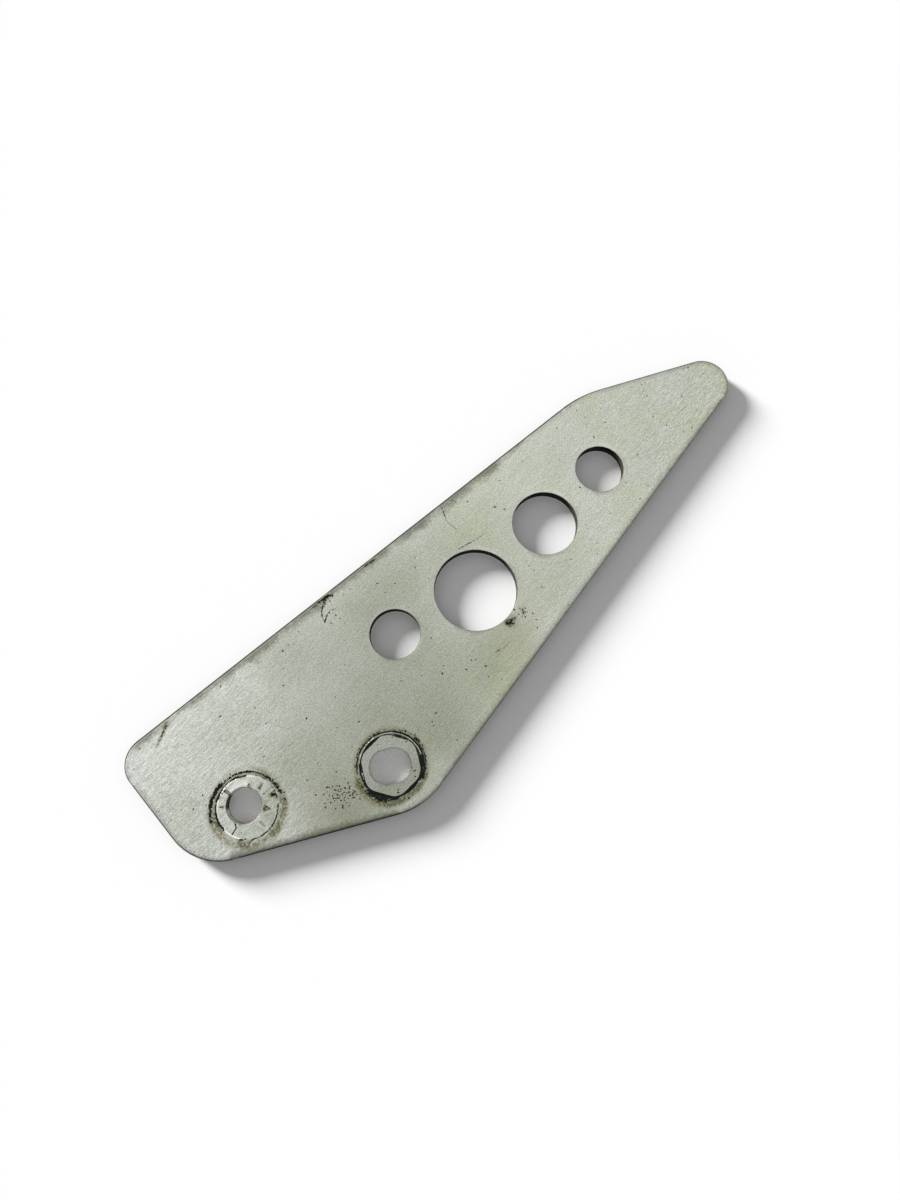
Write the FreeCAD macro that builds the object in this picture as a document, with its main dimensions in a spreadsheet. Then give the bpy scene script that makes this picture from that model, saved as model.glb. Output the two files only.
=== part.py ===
import FreeCAD, Part
import math
import os

import Sketcher
from FreeCAD import Placement, Rotation, Vector

# Motorcycle heel guard, one flat aluminium plate.
# It is blanked from sheet, drilled, and bolted beside the foot rest by its wide end.
# Frame: the origin is on the back face, midway between the bolt holes. X runs along
# the bolt line from the round hole to the slotted one, Y runs up towards the top edge
# and Z points out of the visible face. Lengths are millimetres.

SIZES = [
    # the sheet and its edges
    ("plate_thickness", 3.0, "thickness of the sheet"),
    ("front_edge_radius", 0.7, "rolled edge round the visible face"),
    ("back_edge_radius", 0.3, "broken edge round the back face"),
    ("rim_chamfer", 0.2, "deburred rim of every hole, on both faces"),
    # sharp corners of the outline, each as X and Y from the origin, and their radii
    ("rear_corner_x", -44.0, "rear end of the long top edge"),
    ("rear_corner_y", 17.4, ""),
    ("rear_corner_radius", 6.5, ""),
    ("base_edge_y", -10.8, "straight base edge, parallel to the bolt line"),
    ("base_rear_x", -29.8, "rear end of the base edge"),
    ("base_rear_radius", 14.0, ""),
    ("base_front_x", 22.3, "front end of the base edge"),
    ("base_front_radius", 18.0, ""),
    ("shoulder_x", 85.8, "where the long top edge bends into the short one"),
    ("shoulder_y", 77.9, ""),
    ("shoulder_radius", 30.0, ""),
    ("tip_run", 52.3, "from the shoulder to where the short top edge and the front edge"),
    ("tip_rise", 2.7, "would meet"),
    ("tip_radius", 6.5, ""),
    # bolt holes: the round one locates the plate, the slotted one takes up the pitch
    ("bolt_pitch", 33.8, "distance between the bolt holes"),
    ("bolt_hole_diameter", 8.0, "close on an M8 bolt, also the width of the slot"),
    ("slot_length", 9.6, "slotted hole from end to end"),
    # lightening holes: every rim keeps the same distance from the long top edge,
    # and every hole the same web to the next one
    ("tip_hole_diameter", 12.0, "first hole below the shoulder"),
    ("upper_hole_diameter", 16.0, ""),
    ("wide_hole_diameter", 20.0, ""),
    ("lower_hole_diameter", 12.0, ""),
    ("edge_web", 12.4, "from the long top edge to the rim of each hole"),
    ("hole_web", 6.1, "between the rims of neighbouring holes"),
    ("shoulder_setback", 9.6, "from the shoulder back to the tip hole, along the edge"),
    # seat that a toothed lock washer pressed round the round hole
    ("washer_shift_x", 0.8, "centre of the mark from the centre of the hole"),
    ("washer_shift_y", -0.6, ""),
    ("washer_radius", 7.1, "middle of the groove that its rim scribed"),
    ("groove_width", 0.7, ""),
    ("groove_depth", 0.25, ""),
    ("tooth_reach", 5.7, "outer end of each tooth mark from the middle of the washer"),
    ("tooth_width", 1.3, "width of a tooth mark at its outer end"),
    ("tooth_depth", 0.2, ""),
    # seat that a hexagon head pressed round the slotted hole
    ("head_shift_x", 0.3, "centre of the mark from the middle of the slot"),
    ("head_shift_y", 0.1, ""),
    ("head_across_flats", 12.8, "land that the head covered"),
    ("head_corner_radius", 3.2, "worn corners of that land"),
    ("head_clearance", 0.4, "from the worn corners to the ring that they scribed"),
    ("head_depth", 0.2, "depth of the scraped ring round the land"),
]

# Directions in which the washer's teeth bit, in degrees from X, as the worn plate has them.
TOOTH_DIRECTIONS = [72, 43, -17, -60, -124, 163, 124]

size = {name: value for name, value, note in SIZES}

ORIGIN = -1
X_AXIS = -1
START, END, CENTRE = 1, 2, 3
FIT = 1e-6


def make_sheet(doc):
    """Write the sizes into the spreadsheet, one named cell to a size."""
    sheet = doc.addObject("Spreadsheet::Sheet", "Sizes")
    for row, (name, value, note) in enumerate(SIZES, start=1):
        sheet.set(f"A{row}", name)
        sheet.set(f"B{row}", str(value))
        sheet.setAlias(f"B{row}", name)
        sheet.set(f"C{row}", note)
    doc.recompute()
    return sheet


def origin_plane(body, role):
    """Find one of the body's own planes by its role."""
    for feature in body.Origin.OriginFeatures:
        if feature.Role == role:
            return feature
    raise ValueError(f"{body.Label} has no {role}")


def make_sketch(body, name, on_front=False):
    """Start a sketch on the back face plane, or lifted to the visible face."""
    sketch = body.newObject("Sketcher::SketchObject", name)
    sketch.AttachmentSupport = [(origin_plane(body, "XY_Plane"), "")]
    sketch.MapMode = "FlatFace"
    if on_front:
        sketch.setExpression("AttachmentOffset.Base.z", "Sizes.plate_thickness")
    return sketch


def bind(sketch, name, constraint, expression):
    """Add a named dimension whose value follows the spreadsheet."""
    index = sketch.addConstraint(constraint)
    sketch.renameConstraint(index, name)
    sketch.setExpression(f"Constraints.{name}", expression)


def bind_point(sketch, name, geometry, position, point, x_rule, y_rule):
    """Dimension one point of the sketch in X and Y from the origin."""
    across = Sketcher.Constraint("DistanceX", ORIGIN, START, geometry, position, point.x)
    up = Sketcher.Constraint("DistanceY", ORIGIN, START, geometry, position, point.y)
    bind(sketch, f"{name}_x", across, x_rule)
    bind(sketch, f"{name}_y", up, y_rule)


def arc(centre, radius, start_angle, end_angle):
    """Arc that runs anticlockwise from one direction to the other."""
    return Part.ArcOfCircle(Part.Circle(centre, Vector(0, 0, 1), radius), start_angle, end_angle)


def heading(start, end):
    """Direction from one point to another, in radians."""
    return math.atan2(end.y - start.y, end.x - start.x)


def rounded_polygon(corners, radii):
    """Lines and corner arcs of an anticlockwise outline, as (line, arc) pairs.

    Arc number i rounds corner i, and line number i runs from it to the next corner.
    """
    count = len(corners)
    headings = [heading(corners[i], corners[(i + 1) % count]) for i in range(count)]
    arcs = []
    for i, corner in enumerate(corners):
        turn = (headings[i] - headings[i - 1]) % (2 * math.pi)
        cut_back = radii[i] * math.tan(turn / 2)
        along = Vector(math.cos(headings[i]), math.sin(headings[i]), 0)
        inward = Vector(-along.y, along.x, 0)
        centre = corner + along * cut_back + inward * radii[i]
        start_angle = headings[i - 1] - math.pi / 2
        arcs.append(arc(centre, radii[i], start_angle, start_angle + turn))
    lines = []
    for i in range(count):
        following = arcs[(i + 1) % count]
        lines.append(Part.LineSegment(arcs[i].EndPoint, following.StartPoint))
    return list(zip(lines, arcs))


def add_rounded_polygon(sketch, corners, radii, radius_rules, name):
    """Draw a rounded polygon with tangent corners. Returns its line numbers."""
    line_numbers = []
    arc_numbers = []
    for line, corner_arc in rounded_polygon(corners, radii):
        arc_numbers.append(sketch.addGeometry(corner_arc))
        line_numbers.append(sketch.addGeometry(line))
    count = len(corners)
    for i in range(count):
        following = arc_numbers[(i + 1) % count]
        sketch.addConstraint(
            Sketcher.Constraint("Tangent", line_numbers[i], START, arc_numbers[i], END))
        sketch.addConstraint(
            Sketcher.Constraint("Tangent", line_numbers[i], END, following, START))
        bind(sketch, f"{name}_radius_{i}",
             Sketcher.Constraint("Radius", arc_numbers[i], radii[i]), radius_rules[i])
    return line_numbers


def add_sharp_corners(sketch, line_numbers, corners, corner_rules, name):
    """Dimension the sharp corners that the lines of a rounded polygon run through."""
    for i, corner in enumerate(corners):
        point = sketch.addGeometry(Part.Point(corner), True)
        for line in (line_numbers[i - 1], line_numbers[i]):
            sketch.addConstraint(Sketcher.Constraint("PointOnObject", point, START, line))
        bind_point(sketch, f"{name}_{i}", point, START, corner, *corner_rules[i])


# Corners of the outline, anticlockwise: the sizes that add up to X, those that add up
# to Y, and the radius.
OUTLINE = [
    (["rear_corner_x"], ["rear_corner_y"], "rear_corner_radius"),
    (["base_rear_x"], ["base_edge_y"], "base_rear_radius"),
    (["base_front_x"], ["base_edge_y"], "base_front_radius"),
    (["shoulder_x", "tip_run"], ["shoulder_y", "tip_rise"], "tip_radius"),
    (["shoulder_x"], ["shoulder_y"], "shoulder_radius"),
]


def total(names):
    """Sum of some sizes."""
    return sum(size[name] for name in names)


def total_rule(names):
    """The same sum as an expression."""
    return " + ".join(f"Sizes.{name}" for name in names)


def make_blank(body):
    """The plate without holes: five straight sides, every corner rounded."""
    sketch = make_sketch(body, "outline")
    corners = [Vector(total(x), total(y), 0) for x, y, radius in OUTLINE]
    radii = [size[radius] for x, y, radius in OUTLINE]
    radius_rules = [f"Sizes.{radius}" for x, y, radius in OUTLINE]
    corner_rules = [(total_rule(x), total_rule(y)) for x, y, radius in OUTLINE]
    lines = add_rounded_polygon(sketch, corners, radii, radius_rules, "corner")
    add_sharp_corners(sketch, lines, corners, corner_rules, "sharp")
    blank = body.newObject("PartDesign::Pad", "blank")
    blank.Profile = sketch
    blank.setExpression("Length", "Sizes.plate_thickness")
    return blank


def edges_at_height(shape, height):
    """Names of the edges that lie in the plane at this height."""
    names = []
    for number, edge in enumerate(shape.Edges, start=1):
        if all(abs(vertex.Z - height) < FIT for vertex in edge.Vertexes):
            names.append(f"Edge{number}")
    return names


def round_edges(body, name, base, height, rule):
    """Round every edge that lies at one height."""
    rounding = body.newObject("PartDesign::Fillet", name)
    rounding.Base = (base, edges_at_height(base.Shape, height))
    rounding.setExpression("Radius", rule)
    return rounding


def cut_through(body, name, sketch):
    """Cut a profile on the visible face right through the plate."""
    pocket = body.newObject("PartDesign::Pocket", name)
    pocket.Profile = sketch
    pocket.Type = "ThroughAll"
    return pocket


def cut_to_depth(body, name, sketch, rule):
    """Cut a profile on the visible face to a small depth."""
    pocket = body.newObject("PartDesign::Pocket", name)
    pocket.Profile = sketch
    pocket.setExpression("Length", rule)
    return pocket


# Lightening holes from the shoulder downwards.
LIGHTENING_HOLES = [
    "tip_hole_diameter",
    "upper_hole_diameter",
    "wide_hole_diameter",
    "lower_hole_diameter",
]


def lightening_centres(rear, shoulder):
    """Centres of the lightening holes, worked out from the long top edge."""
    back = (rear - shoulder).normalize()
    down = Vector(-back.y, back.x, 0)
    radii = [size[name] / 2 for name in LIGHTENING_HOLES]
    along = size["shoulder_setback"]
    centres = []
    for i, radius in enumerate(radii):
        if i > 0:
            reach = radii[i - 1] + size["hole_web"] + radius
            along += math.sqrt(reach ** 2 - (radius - radii[i - 1]) ** 2)
        centres.append(shoulder + back * along + down * (size["edge_web"] + radius))
    return centres


def make_lightening_holes(body):
    """Four holes whose rims line up along the long top edge."""
    sketch = make_sketch(body, "lightening_profile", on_front=True)
    rear = Vector(size["rear_corner_x"], size["rear_corner_y"], 0)
    shoulder = Vector(size["shoulder_x"], size["shoulder_y"], 0)
    edge = sketch.addGeometry(Part.LineSegment(rear, shoulder), True)
    bind_point(sketch, "rear", edge, START, rear,
               "Sizes.rear_corner_x", "Sizes.rear_corner_y")
    bind_point(sketch, "shoulder", edge, END, shoulder,
               "Sizes.shoulder_x", "Sizes.shoulder_y")

    centres = lightening_centres(rear, shoulder)
    circles = []
    for name, centre in zip(LIGHTENING_HOLES, centres):
        hole = Part.Circle(centre, Vector(0, 0, 1), size[name] / 2)
        circle = sketch.addGeometry(hole)
        bind(sketch, name, Sketcher.Constraint("Diameter", circle, size[name]),
             f"Sizes.{name}")
        drop = size["edge_web"] + size[name] / 2
        bind(sketch, f"{name}_drop",
             Sketcher.Constraint("Distance", circle, CENTRE, edge, drop),
             f"Sizes.edge_web + Sizes.{name} / 2")
        circles.append(circle)

    foot = shoulder + (rear - shoulder).normalize() * size["shoulder_setback"]
    square = sketch.addGeometry(Part.LineSegment(foot, centres[0]), True)
    sketch.addConstraint(Sketcher.Constraint("PointOnObject", square, START, edge))
    sketch.addConstraint(Sketcher.Constraint("Perpendicular", square, edge))
    sketch.addConstraint(Sketcher.Constraint("Coincident", square, END, circles[0], CENTRE))
    bind(sketch, "setback",
         Sketcher.Constraint("Distance", edge, END, square, START, size["shoulder_setback"]),
         "Sizes.shoulder_setback")

    for i in range(1, len(circles)):
        upper, lower = LIGHTENING_HOLES[i - 1], LIGHTENING_HOLES[i]
        reach = size["hole_web"] + (size[upper] + size[lower]) / 2
        bind(sketch, f"reach_{i}",
             Sketcher.Constraint("Distance", circles[i - 1], CENTRE, circles[i], CENTRE, reach),
             f"Sizes.hole_web + (Sizes.{upper} + Sizes.{lower}) / 2")
    return cut_through(body, "lightening_holes", sketch)


def make_bolt_holes(body):
    """A round hole and a slotted one on the bolt line, the same distance from the origin."""
    sketch = make_sketch(body, "bolt_profile", on_front=True)
    half_pitch = size["bolt_pitch"] / 2
    radius = size["bolt_hole_diameter"] / 2
    travel = (size["slot_length"] - size["bolt_hole_diameter"]) / 2

    centre = Vector(-half_pitch, 0, 0)
    round_hole = sketch.addGeometry(Part.Circle(centre, Vector(0, 0, 1), radius))
    bind(sketch, "round_hole",
         Sketcher.Constraint("Diameter", round_hole, 2 * radius), "Sizes.bolt_hole_diameter")
    bind(sketch, "round_hole_x",
         Sketcher.Constraint("DistanceX", round_hole, CENTRE, ORIGIN, START, half_pitch),
         "Sizes.bolt_pitch / 2")
    sketch.addConstraint(Sketcher.Constraint("PointOnObject", round_hole, CENTRE, X_AXIS))

    near = Vector(half_pitch - travel, 0, 0)
    far = Vector(half_pitch + travel, 0, 0)
    side = Vector(0, radius, 0)
    quarter = math.pi / 2
    far_arc = sketch.addGeometry(arc(far, radius, -quarter, quarter))
    near_arc = sketch.addGeometry(arc(near, radius, quarter, 3 * quarter))
    upper = sketch.addGeometry(Part.LineSegment(far + side, near + side))
    lower = sketch.addGeometry(Part.LineSegment(near - side, far - side))
    for line, line_end, end_arc, arc_end in (
            (upper, START, far_arc, END), (upper, END, near_arc, START),
            (lower, START, near_arc, END), (lower, END, far_arc, START)):
        sketch.addConstraint(
            Sketcher.Constraint("Tangent", line, line_end, end_arc, arc_end))
    sketch.addConstraint(Sketcher.Constraint("Equal", near_arc, far_arc))
    bind(sketch, "slot_radius",
         Sketcher.Constraint("Radius", near_arc, radius), "Sizes.bolt_hole_diameter / 2")
    travel_rule = "(Sizes.slot_length - Sizes.bolt_hole_diameter) / 2"
    for name, end_arc, place, sign in (("near", near_arc, near, "-"), ("far", far_arc, far, "+")):
        sketch.addConstraint(Sketcher.Constraint("PointOnObject", end_arc, CENTRE, X_AXIS))
        bind(sketch, f"slot_{name}",
             Sketcher.Constraint("DistanceX", ORIGIN, START, end_arc, CENTRE, place.x),
             f"Sizes.bolt_pitch / 2 {sign} {travel_rule}")
    return cut_through(body, "bolt_holes", sketch)


def hole_rims(shape, height):
    """Names of the edges round the holes of the flat face at this height."""
    rims = []
    for face in shape.Faces:
        if abs(face.BoundBox.ZMin - height) > FIT or abs(face.BoundBox.ZMax - height) > FIT:
            continue
        for wire in face.Wires:
            if not wire.isSame(face.OuterWire):
                rims.extend(wire.Edges)
    names = []
    for number, edge in enumerate(shape.Edges, start=1):
        if any(edge.isSame(rim) for rim in rims):
            names.append(f"Edge{number}")
    return names


def chamfer_rims(body, base):
    """Deburr the rim of every hole on both faces."""
    names = hole_rims(base.Shape, 0) + hole_rims(base.Shape, size["plate_thickness"])
    chamfer = body.newObject("PartDesign::Chamfer", "hole_rims")
    chamfer.Base = (base, names)
    chamfer.setExpression("Size", "Sizes.rim_chamfer")
    return chamfer


WASHER_X_RULE = "-Sizes.bolt_pitch / 2 + Sizes.washer_shift_x"
WASHER_Y_RULE = "Sizes.washer_shift_y"
HEAD_X_RULE = "Sizes.bolt_pitch / 2 + Sizes.head_shift_x"
HEAD_Y_RULE = "Sizes.head_shift_y"


def make_washer_groove(body):
    """Fine V groove that the rim of the lock washer scribed, turned about the washer's middle."""
    sketch = body.newObject("Sketcher::SketchObject", "groove_profile")
    sketch.AttachmentSupport = [(origin_plane(body, "XZ_Plane"), "")]
    sketch.MapMode = "FlatFace"
    sketch.setExpression("AttachmentOffset.Base.x", WASHER_X_RULE)
    sketch.setExpression("AttachmentOffset.Base.z", f"-({WASHER_Y_RULE})")
    surface = size["plate_thickness"]
    inner = Vector(size["washer_radius"] - size["groove_width"] / 2, surface, 0)
    outer = Vector(size["washer_radius"] + size["groove_width"] / 2, surface, 0)
    bottom = Vector(size["washer_radius"], surface - size["groove_depth"], 0)
    top = sketch.addGeometry(Part.LineSegment(outer, inner))
    falling = sketch.addGeometry(Part.LineSegment(inner, bottom))
    rising = sketch.addGeometry(Part.LineSegment(bottom, outer))
    for first, second in ((top, falling), (falling, rising), (rising, top)):
        sketch.addConstraint(Sketcher.Constraint("Coincident", first, END, second, START))
    bind_point(sketch, "inner", falling, START, inner,
               "Sizes.washer_radius - Sizes.groove_width / 2", "Sizes.plate_thickness")
    bind_point(sketch, "bottom", rising, START, bottom,
               "Sizes.washer_radius", "Sizes.plate_thickness - Sizes.groove_depth")
    bind_point(sketch, "outer", top, START, outer,
               "Sizes.washer_radius + Sizes.groove_width / 2", "Sizes.plate_thickness")
    groove = body.newObject("PartDesign::Groove", "washer_groove")
    groove.Profile = sketch
    groove.ReferenceAxis = (sketch, ["V_Axis"])
    groove.Angle = 360
    return groove


def make_tooth_marks(body):
    """Wedge-shaped dents of the washer's inner teeth, each open towards the bolt hole."""
    sketch = make_sketch(body, "tooth_profile", on_front=True)
    sketch.setExpression("AttachmentOffset.Base.x", WASHER_X_RULE)
    sketch.setExpression("AttachmentOffset.Base.y", WASHER_Y_RULE)
    half_width = size["tooth_width"] / 2
    root = size["bolt_hole_diameter"] / 2 - size["tooth_width"] / 2
    for number, degrees in enumerate(TOOTH_DIRECTIONS):
        direction = Rotation(Vector(0, 0, 1), degrees)
        point = direction.multVec(Vector(root, 0, 0))
        right = direction.multVec(Vector(size["tooth_reach"], -half_width, 0))
        left = direction.multVec(Vector(size["tooth_reach"], half_width, 0))
        lower = sketch.addGeometry(Part.LineSegment(point, right))
        outer = sketch.addGeometry(Part.LineSegment(right, left))
        upper = sketch.addGeometry(Part.LineSegment(left, point))
        for first, second in ((lower, outer), (outer, upper), (upper, lower)):
            sketch.addConstraint(Sketcher.Constraint("Coincident", first, END, second, START))
        cosine = f"cos({degrees} deg)"
        sine = f"sin({degrees} deg)"
        root_rule = "(Sizes.bolt_hole_diameter - Sizes.tooth_width) / 2"
        bind_point(sketch, f"root_{number}", lower, START, point,
                   f"{root_rule} * {cosine}", f"{root_rule} * {sine}")
        for name, line, place, sign in (("right", outer, right, ""), ("left", upper, left, "-")):
            across = f"{sign}Sizes.tooth_width / 2"
            bind_point(sketch, f"{name}_{number}", line, START, place,
                       f"Sizes.tooth_reach * {cosine} + ({across}) * {sine}",
                       f"Sizes.tooth_reach * {sine} - ({across}) * {cosine}")
    return cut_to_depth(body, "tooth_marks", sketch, "Sizes.tooth_depth")


def make_head_seat(body):
    """Scraped ring between the land that the hexagon head covered and its turning corners."""
    sketch = make_sketch(body, "head_profile", on_front=True)
    sketch.setExpression("AttachmentOffset.Base.x", HEAD_X_RULE)
    sketch.setExpression("AttachmentOffset.Base.y", HEAD_Y_RULE)
    cosine = math.cos(math.radians(30))
    sharp_reach = size["head_across_flats"] / 2 / cosine
    worn_reach = sharp_reach - size["head_corner_radius"] * (1 / cosine - 1)
    ring_radius = worn_reach + size["head_clearance"]
    corners = []
    corner_rules = []
    for side in range(6):
        degrees = 30 + 60 * side
        direction = Rotation(Vector(0, 0, 1), degrees)
        corners.append(direction.multVec(Vector(sharp_reach, 0, 0)))
        reach_rule = "Sizes.head_across_flats / 2 / cos(30 deg)"
        corner_rules.append((f"{reach_rule} * cos({degrees} deg)",
                             f"{reach_rule} * sin({degrees} deg)"))
    radii = [size["head_corner_radius"]] * 6
    radius_rules = ["Sizes.head_corner_radius"] * 6
    lines = add_rounded_polygon(sketch, corners, radii, radius_rules, "worn")
    add_sharp_corners(sketch, lines, corners, corner_rules, "flat")
    ring = sketch.addGeometry(Part.Circle(Vector(0, 0, 0), Vector(0, 0, 1), ring_radius))
    sketch.addConstraint(Sketcher.Constraint("Coincident", ring, CENTRE, ORIGIN, START))
    bind(sketch, "ring", Sketcher.Constraint("Radius", ring, ring_radius),
         "Sizes.head_across_flats / 2 / cos(30 deg)"
         " - Sizes.head_corner_radius * (1 / cos(30 deg) - 1) + Sizes.head_clearance")
    return cut_to_depth(body, "head_seat", sketch, "Sizes.head_depth")


def rebuild(doc, feature, cuts=True):
    """Recompute, then check the newest feature against the one below it."""
    doc.recompute()
    check_state(doc)
    before = feature.BaseFeature.Shape.Volume if feature.BaseFeature else 0
    change = feature.Shape.Volume - before
    print(f"{feature.Name}: volume changes by {change:.2f} mm3")
    if (change < 0) != cuts:
        raise RuntimeError(f"{feature.Name} doesn't change the plate as it should")


def check_state(doc):
    """Stop if any object of the document failed to build."""
    for item in doc.Objects:
        if "Invalid" in item.State or "Error" in item.State:
            raise RuntimeError(f"{item.Label} failed: {item.State}")


def make_heel_plate(doc):
    """Build the plate in the order in which it would be made, and then worn."""
    body = doc.addObject("PartDesign::Body", "heel_plate")
    body.Label = "heel_plate"
    body.Placement = Placement(Vector(0, 0, 0), Rotation())
    blank = make_blank(body)
    rebuild(doc, blank, cuts=False)
    front = round_edges(body, "front_edge", blank, size["plate_thickness"],
                        "Sizes.front_edge_radius")
    rebuild(doc, front)
    back = round_edges(body, "back_edge", front, 0, "Sizes.back_edge_radius")
    rebuild(doc, back)
    rebuild(doc, make_lightening_holes(body))
    bolt_holes = make_bolt_holes(body)
    rebuild(doc, bolt_holes)
    rebuild(doc, chamfer_rims(body, bolt_holes))
    rebuild(doc, make_washer_groove(body))
    rebuild(doc, make_tooth_marks(body))
    rebuild(doc, make_head_seat(body))
    return body


def export(body):
    """Check the finished solid and write it."""
    shape = body.Shape
    if shape.isNull() or not shape.isValid() or len(shape.Solids) != 1:
        raise RuntimeError(f"{body.Label} isn't one valid solid")
    os.makedirs("parts", exist_ok=True)
    shape.exportStep(f"parts/{body.Label}.step")
    box = shape.optimalBoundingBox()
    print(f"{body.Label}: {box.XLength:.1f} x {box.YLength:.1f} x {box.ZLength:.1f} mm,"
          f" {shape.Volume / 1000:.2f} cm3, {len(shape.Faces)} faces")


doc = FreeCAD.newDocument("heel_guard")
make_sheet(doc)
export(make_heel_plate(doc))
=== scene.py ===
# %% [markdown]
# # A worn heel guard
#
# This lesson dresses one flat part, an aluminium heel guard off a motorcycle. The guard is
# a 3 mm plate, five straight sides with rounded corners, four lightening holes and two bolt
# holes. What makes it look real is not its shape but its history: it was sanded by hand, a
# lock washer and a hexagon head have pressed their rings into it, and dirt has settled
# wherever a cloth doesn't reach. Each chapter adds one layer of that history.

# %% Load the frame that the construction model gives
import math

import bmesh
import bpy
import numpy as np
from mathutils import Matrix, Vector, geometry, noise
from mathutils.bvhtree import BVHTree


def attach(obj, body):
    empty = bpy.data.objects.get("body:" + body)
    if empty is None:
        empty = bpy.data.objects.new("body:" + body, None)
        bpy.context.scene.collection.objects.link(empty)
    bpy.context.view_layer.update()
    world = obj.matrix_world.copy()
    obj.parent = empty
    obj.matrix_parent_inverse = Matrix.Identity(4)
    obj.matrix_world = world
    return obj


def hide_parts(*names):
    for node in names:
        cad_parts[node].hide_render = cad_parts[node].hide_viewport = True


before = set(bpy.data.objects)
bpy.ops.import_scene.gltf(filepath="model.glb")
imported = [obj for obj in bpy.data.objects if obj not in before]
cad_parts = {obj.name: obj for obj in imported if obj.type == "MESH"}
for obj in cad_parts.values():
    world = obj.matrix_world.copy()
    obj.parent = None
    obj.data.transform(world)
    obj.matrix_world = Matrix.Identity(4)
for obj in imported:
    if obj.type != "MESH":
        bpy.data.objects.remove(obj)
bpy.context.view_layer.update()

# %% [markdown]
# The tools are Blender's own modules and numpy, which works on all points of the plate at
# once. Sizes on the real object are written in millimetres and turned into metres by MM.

MM = 0.001
scene = bpy.context.scene
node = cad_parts["heel_plate"]

# %% [markdown]
# ## The camera
#
# The photographer held a wide lens close over the wide end, so the plate narrows towards its
# tip and the walls of the far holes show. A close camera with a short lens gives both at
# once. A long lens from afar would look like a drawing of the plate instead. The rims of the
# round holes show as ellipses in the photograph, and those give the place and the tilt.

# %% Set up the camera
CAMERA_PLACE = Vector((29.7, -0.6, 166.9)) * MM
CAMERA_TURN = (math.radians(12.43), math.radians(-0.41), math.radians(-14.73))
camera_data = bpy.data.cameras.new("camera")
camera_data.lens = 21.0
camera_data.sensor_width = 36.0
camera_data.sensor_fit = "AUTO"
camera_data.clip_start = 0.002
camera = bpy.data.objects.new("camera", camera_data)
camera.location = CAMERA_PLACE
camera.rotation_euler = CAMERA_TURN
scene.collection.objects.link(camera)
scene.camera = camera
print("camera stands", round(CAMERA_PLACE.z / MM), "mm above the bench")

# %% [markdown]
# ## The studio
#
# Metal is a mirror, if a blurred one, so most of what the plate shows is the room round it.
# The room here is a pale dome that darkens towards the horizon: the flat face looks up and
# stays bright, while rounded edges and walls look sideways and turn dark. That alone draws
# the thin dark line round the plate. One low, soft lamp from the rear left throws the long
# soft shadow. Together they bring a white floor to just about white.

# %% [markdown]
# Both the studio and every finish are small trees of nodes. Adding a node, setting it up
# and linking it take one call here, so the lines that follow read like a recipe.

# %% Helpers for nodes
def feed(tree, socket, value):
    """Link a socket to another one, or set it to a plain value."""
    if isinstance(value, bpy.types.NodeSocket):
        tree.links.new(value, socket)
    else:
        socket.default_value = value


def new_node(tree, kind, inputs=None, **settings):
    """Add a node, set it up, and link or set its inputs."""
    item = tree.nodes.new(kind)
    for name, value in settings.items():
        setattr(item, name, value)
    for label, value in (inputs or {}).items():
        feed(tree, item.inputs[label], value)
    return item


def mix_numbers(tree, share, first, second):
    """Mix two numbers. The node keeps sockets for every kind, so these go by place."""
    item = new_node(tree, "ShaderNodeMix", {0: share, 2: first, 3: second}, data_type="FLOAT")
    return item.outputs[0]


# %% [markdown]
# The dome is the world's background, with its strength worked out from the height of the
# direction. The floor needs less of it than the metal does, so what a mirror sees and what
# lights the floor are told apart by the kind of ray, and the camera itself sees plain white.

# %% The dome
DOME_FILL = 0.30
DOME_ZENITH = 1.0
DOME_HORIZON = 0.20
HORIZON_HEIGHT = 0.15
ZENITH_HEIGHT = 0.72
BACKDROP = 1.0
PURE_WHITE = (1.0, 1.0, 1.0, 1.0)

world = bpy.data.worlds.new("studio")
world.use_nodes = True
world.cycles.sampling_method = "NONE"
scene.world = world
dome = world.node_tree
direction = new_node(dome, "ShaderNodeTexCoord")
height = new_node(dome, "ShaderNodeSeparateXYZ", {0: direction.outputs["Generated"]})
rise = new_node(dome, "ShaderNodeMapRange", {
    "Value": height.outputs["Z"], "From Min": HORIZON_HEIGHT, "From Max": ZENITH_HEIGHT,
    "To Min": DOME_HORIZON, "To Max": DOME_ZENITH}, interpolation_type="SMOOTHSTEP")
rays = new_node(dome, "ShaderNodeLightPath").outputs
mirrored = mix_numbers(dome, rays["Is Glossy Ray"], DOME_FILL, rise.outputs["Result"])
seen = mix_numbers(dome, rays["Is Camera Ray"], mirrored, BACKDROP)
background = dome.nodes["Background"]
feed(dome, background.inputs["Strength"], seen)
feed(dome, background.inputs["Color"], PURE_WHITE)
scene.view_settings.view_transform = "Standard"
print("dome:", DOME_FILL, "for the floor,", DOME_ZENITH, "overhead for metal")

# %% [markdown]
# A broad light low on the rear left drew the shadow in the photograph. An area lamp could
# do the same, but its light would fall off over the plate. A sun lamp comes from one
# direction everywhere, its wide angle blurs the shadow, and its strength follows from how
# bright a flat floor has to be under it.

# %% The key lamp
KEY_HEIGHT = math.radians(15.7)
KEY_HEADING = math.radians(129.0)
KEY_SPREAD = math.radians(14.0)
KEY_ON_FLOOR = 0.70
towards_key = Vector((
    math.cos(KEY_HEIGHT) * math.cos(KEY_HEADING),
    math.cos(KEY_HEIGHT) * math.sin(KEY_HEADING),
    math.sin(KEY_HEIGHT),
))
key_data = bpy.data.lights.new("key", "SUN")
key_data.angle = KEY_SPREAD
key_data.energy = KEY_ON_FLOOR * math.pi / math.sin(KEY_HEIGHT)
key = bpy.data.objects.new("key", key_data)
key.rotation_euler = towards_key.to_track_quat("Z", "Y").to_euler()
scene.collection.objects.link(key)
print("key lamp energy", round(key_data.energy, 2))

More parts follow.
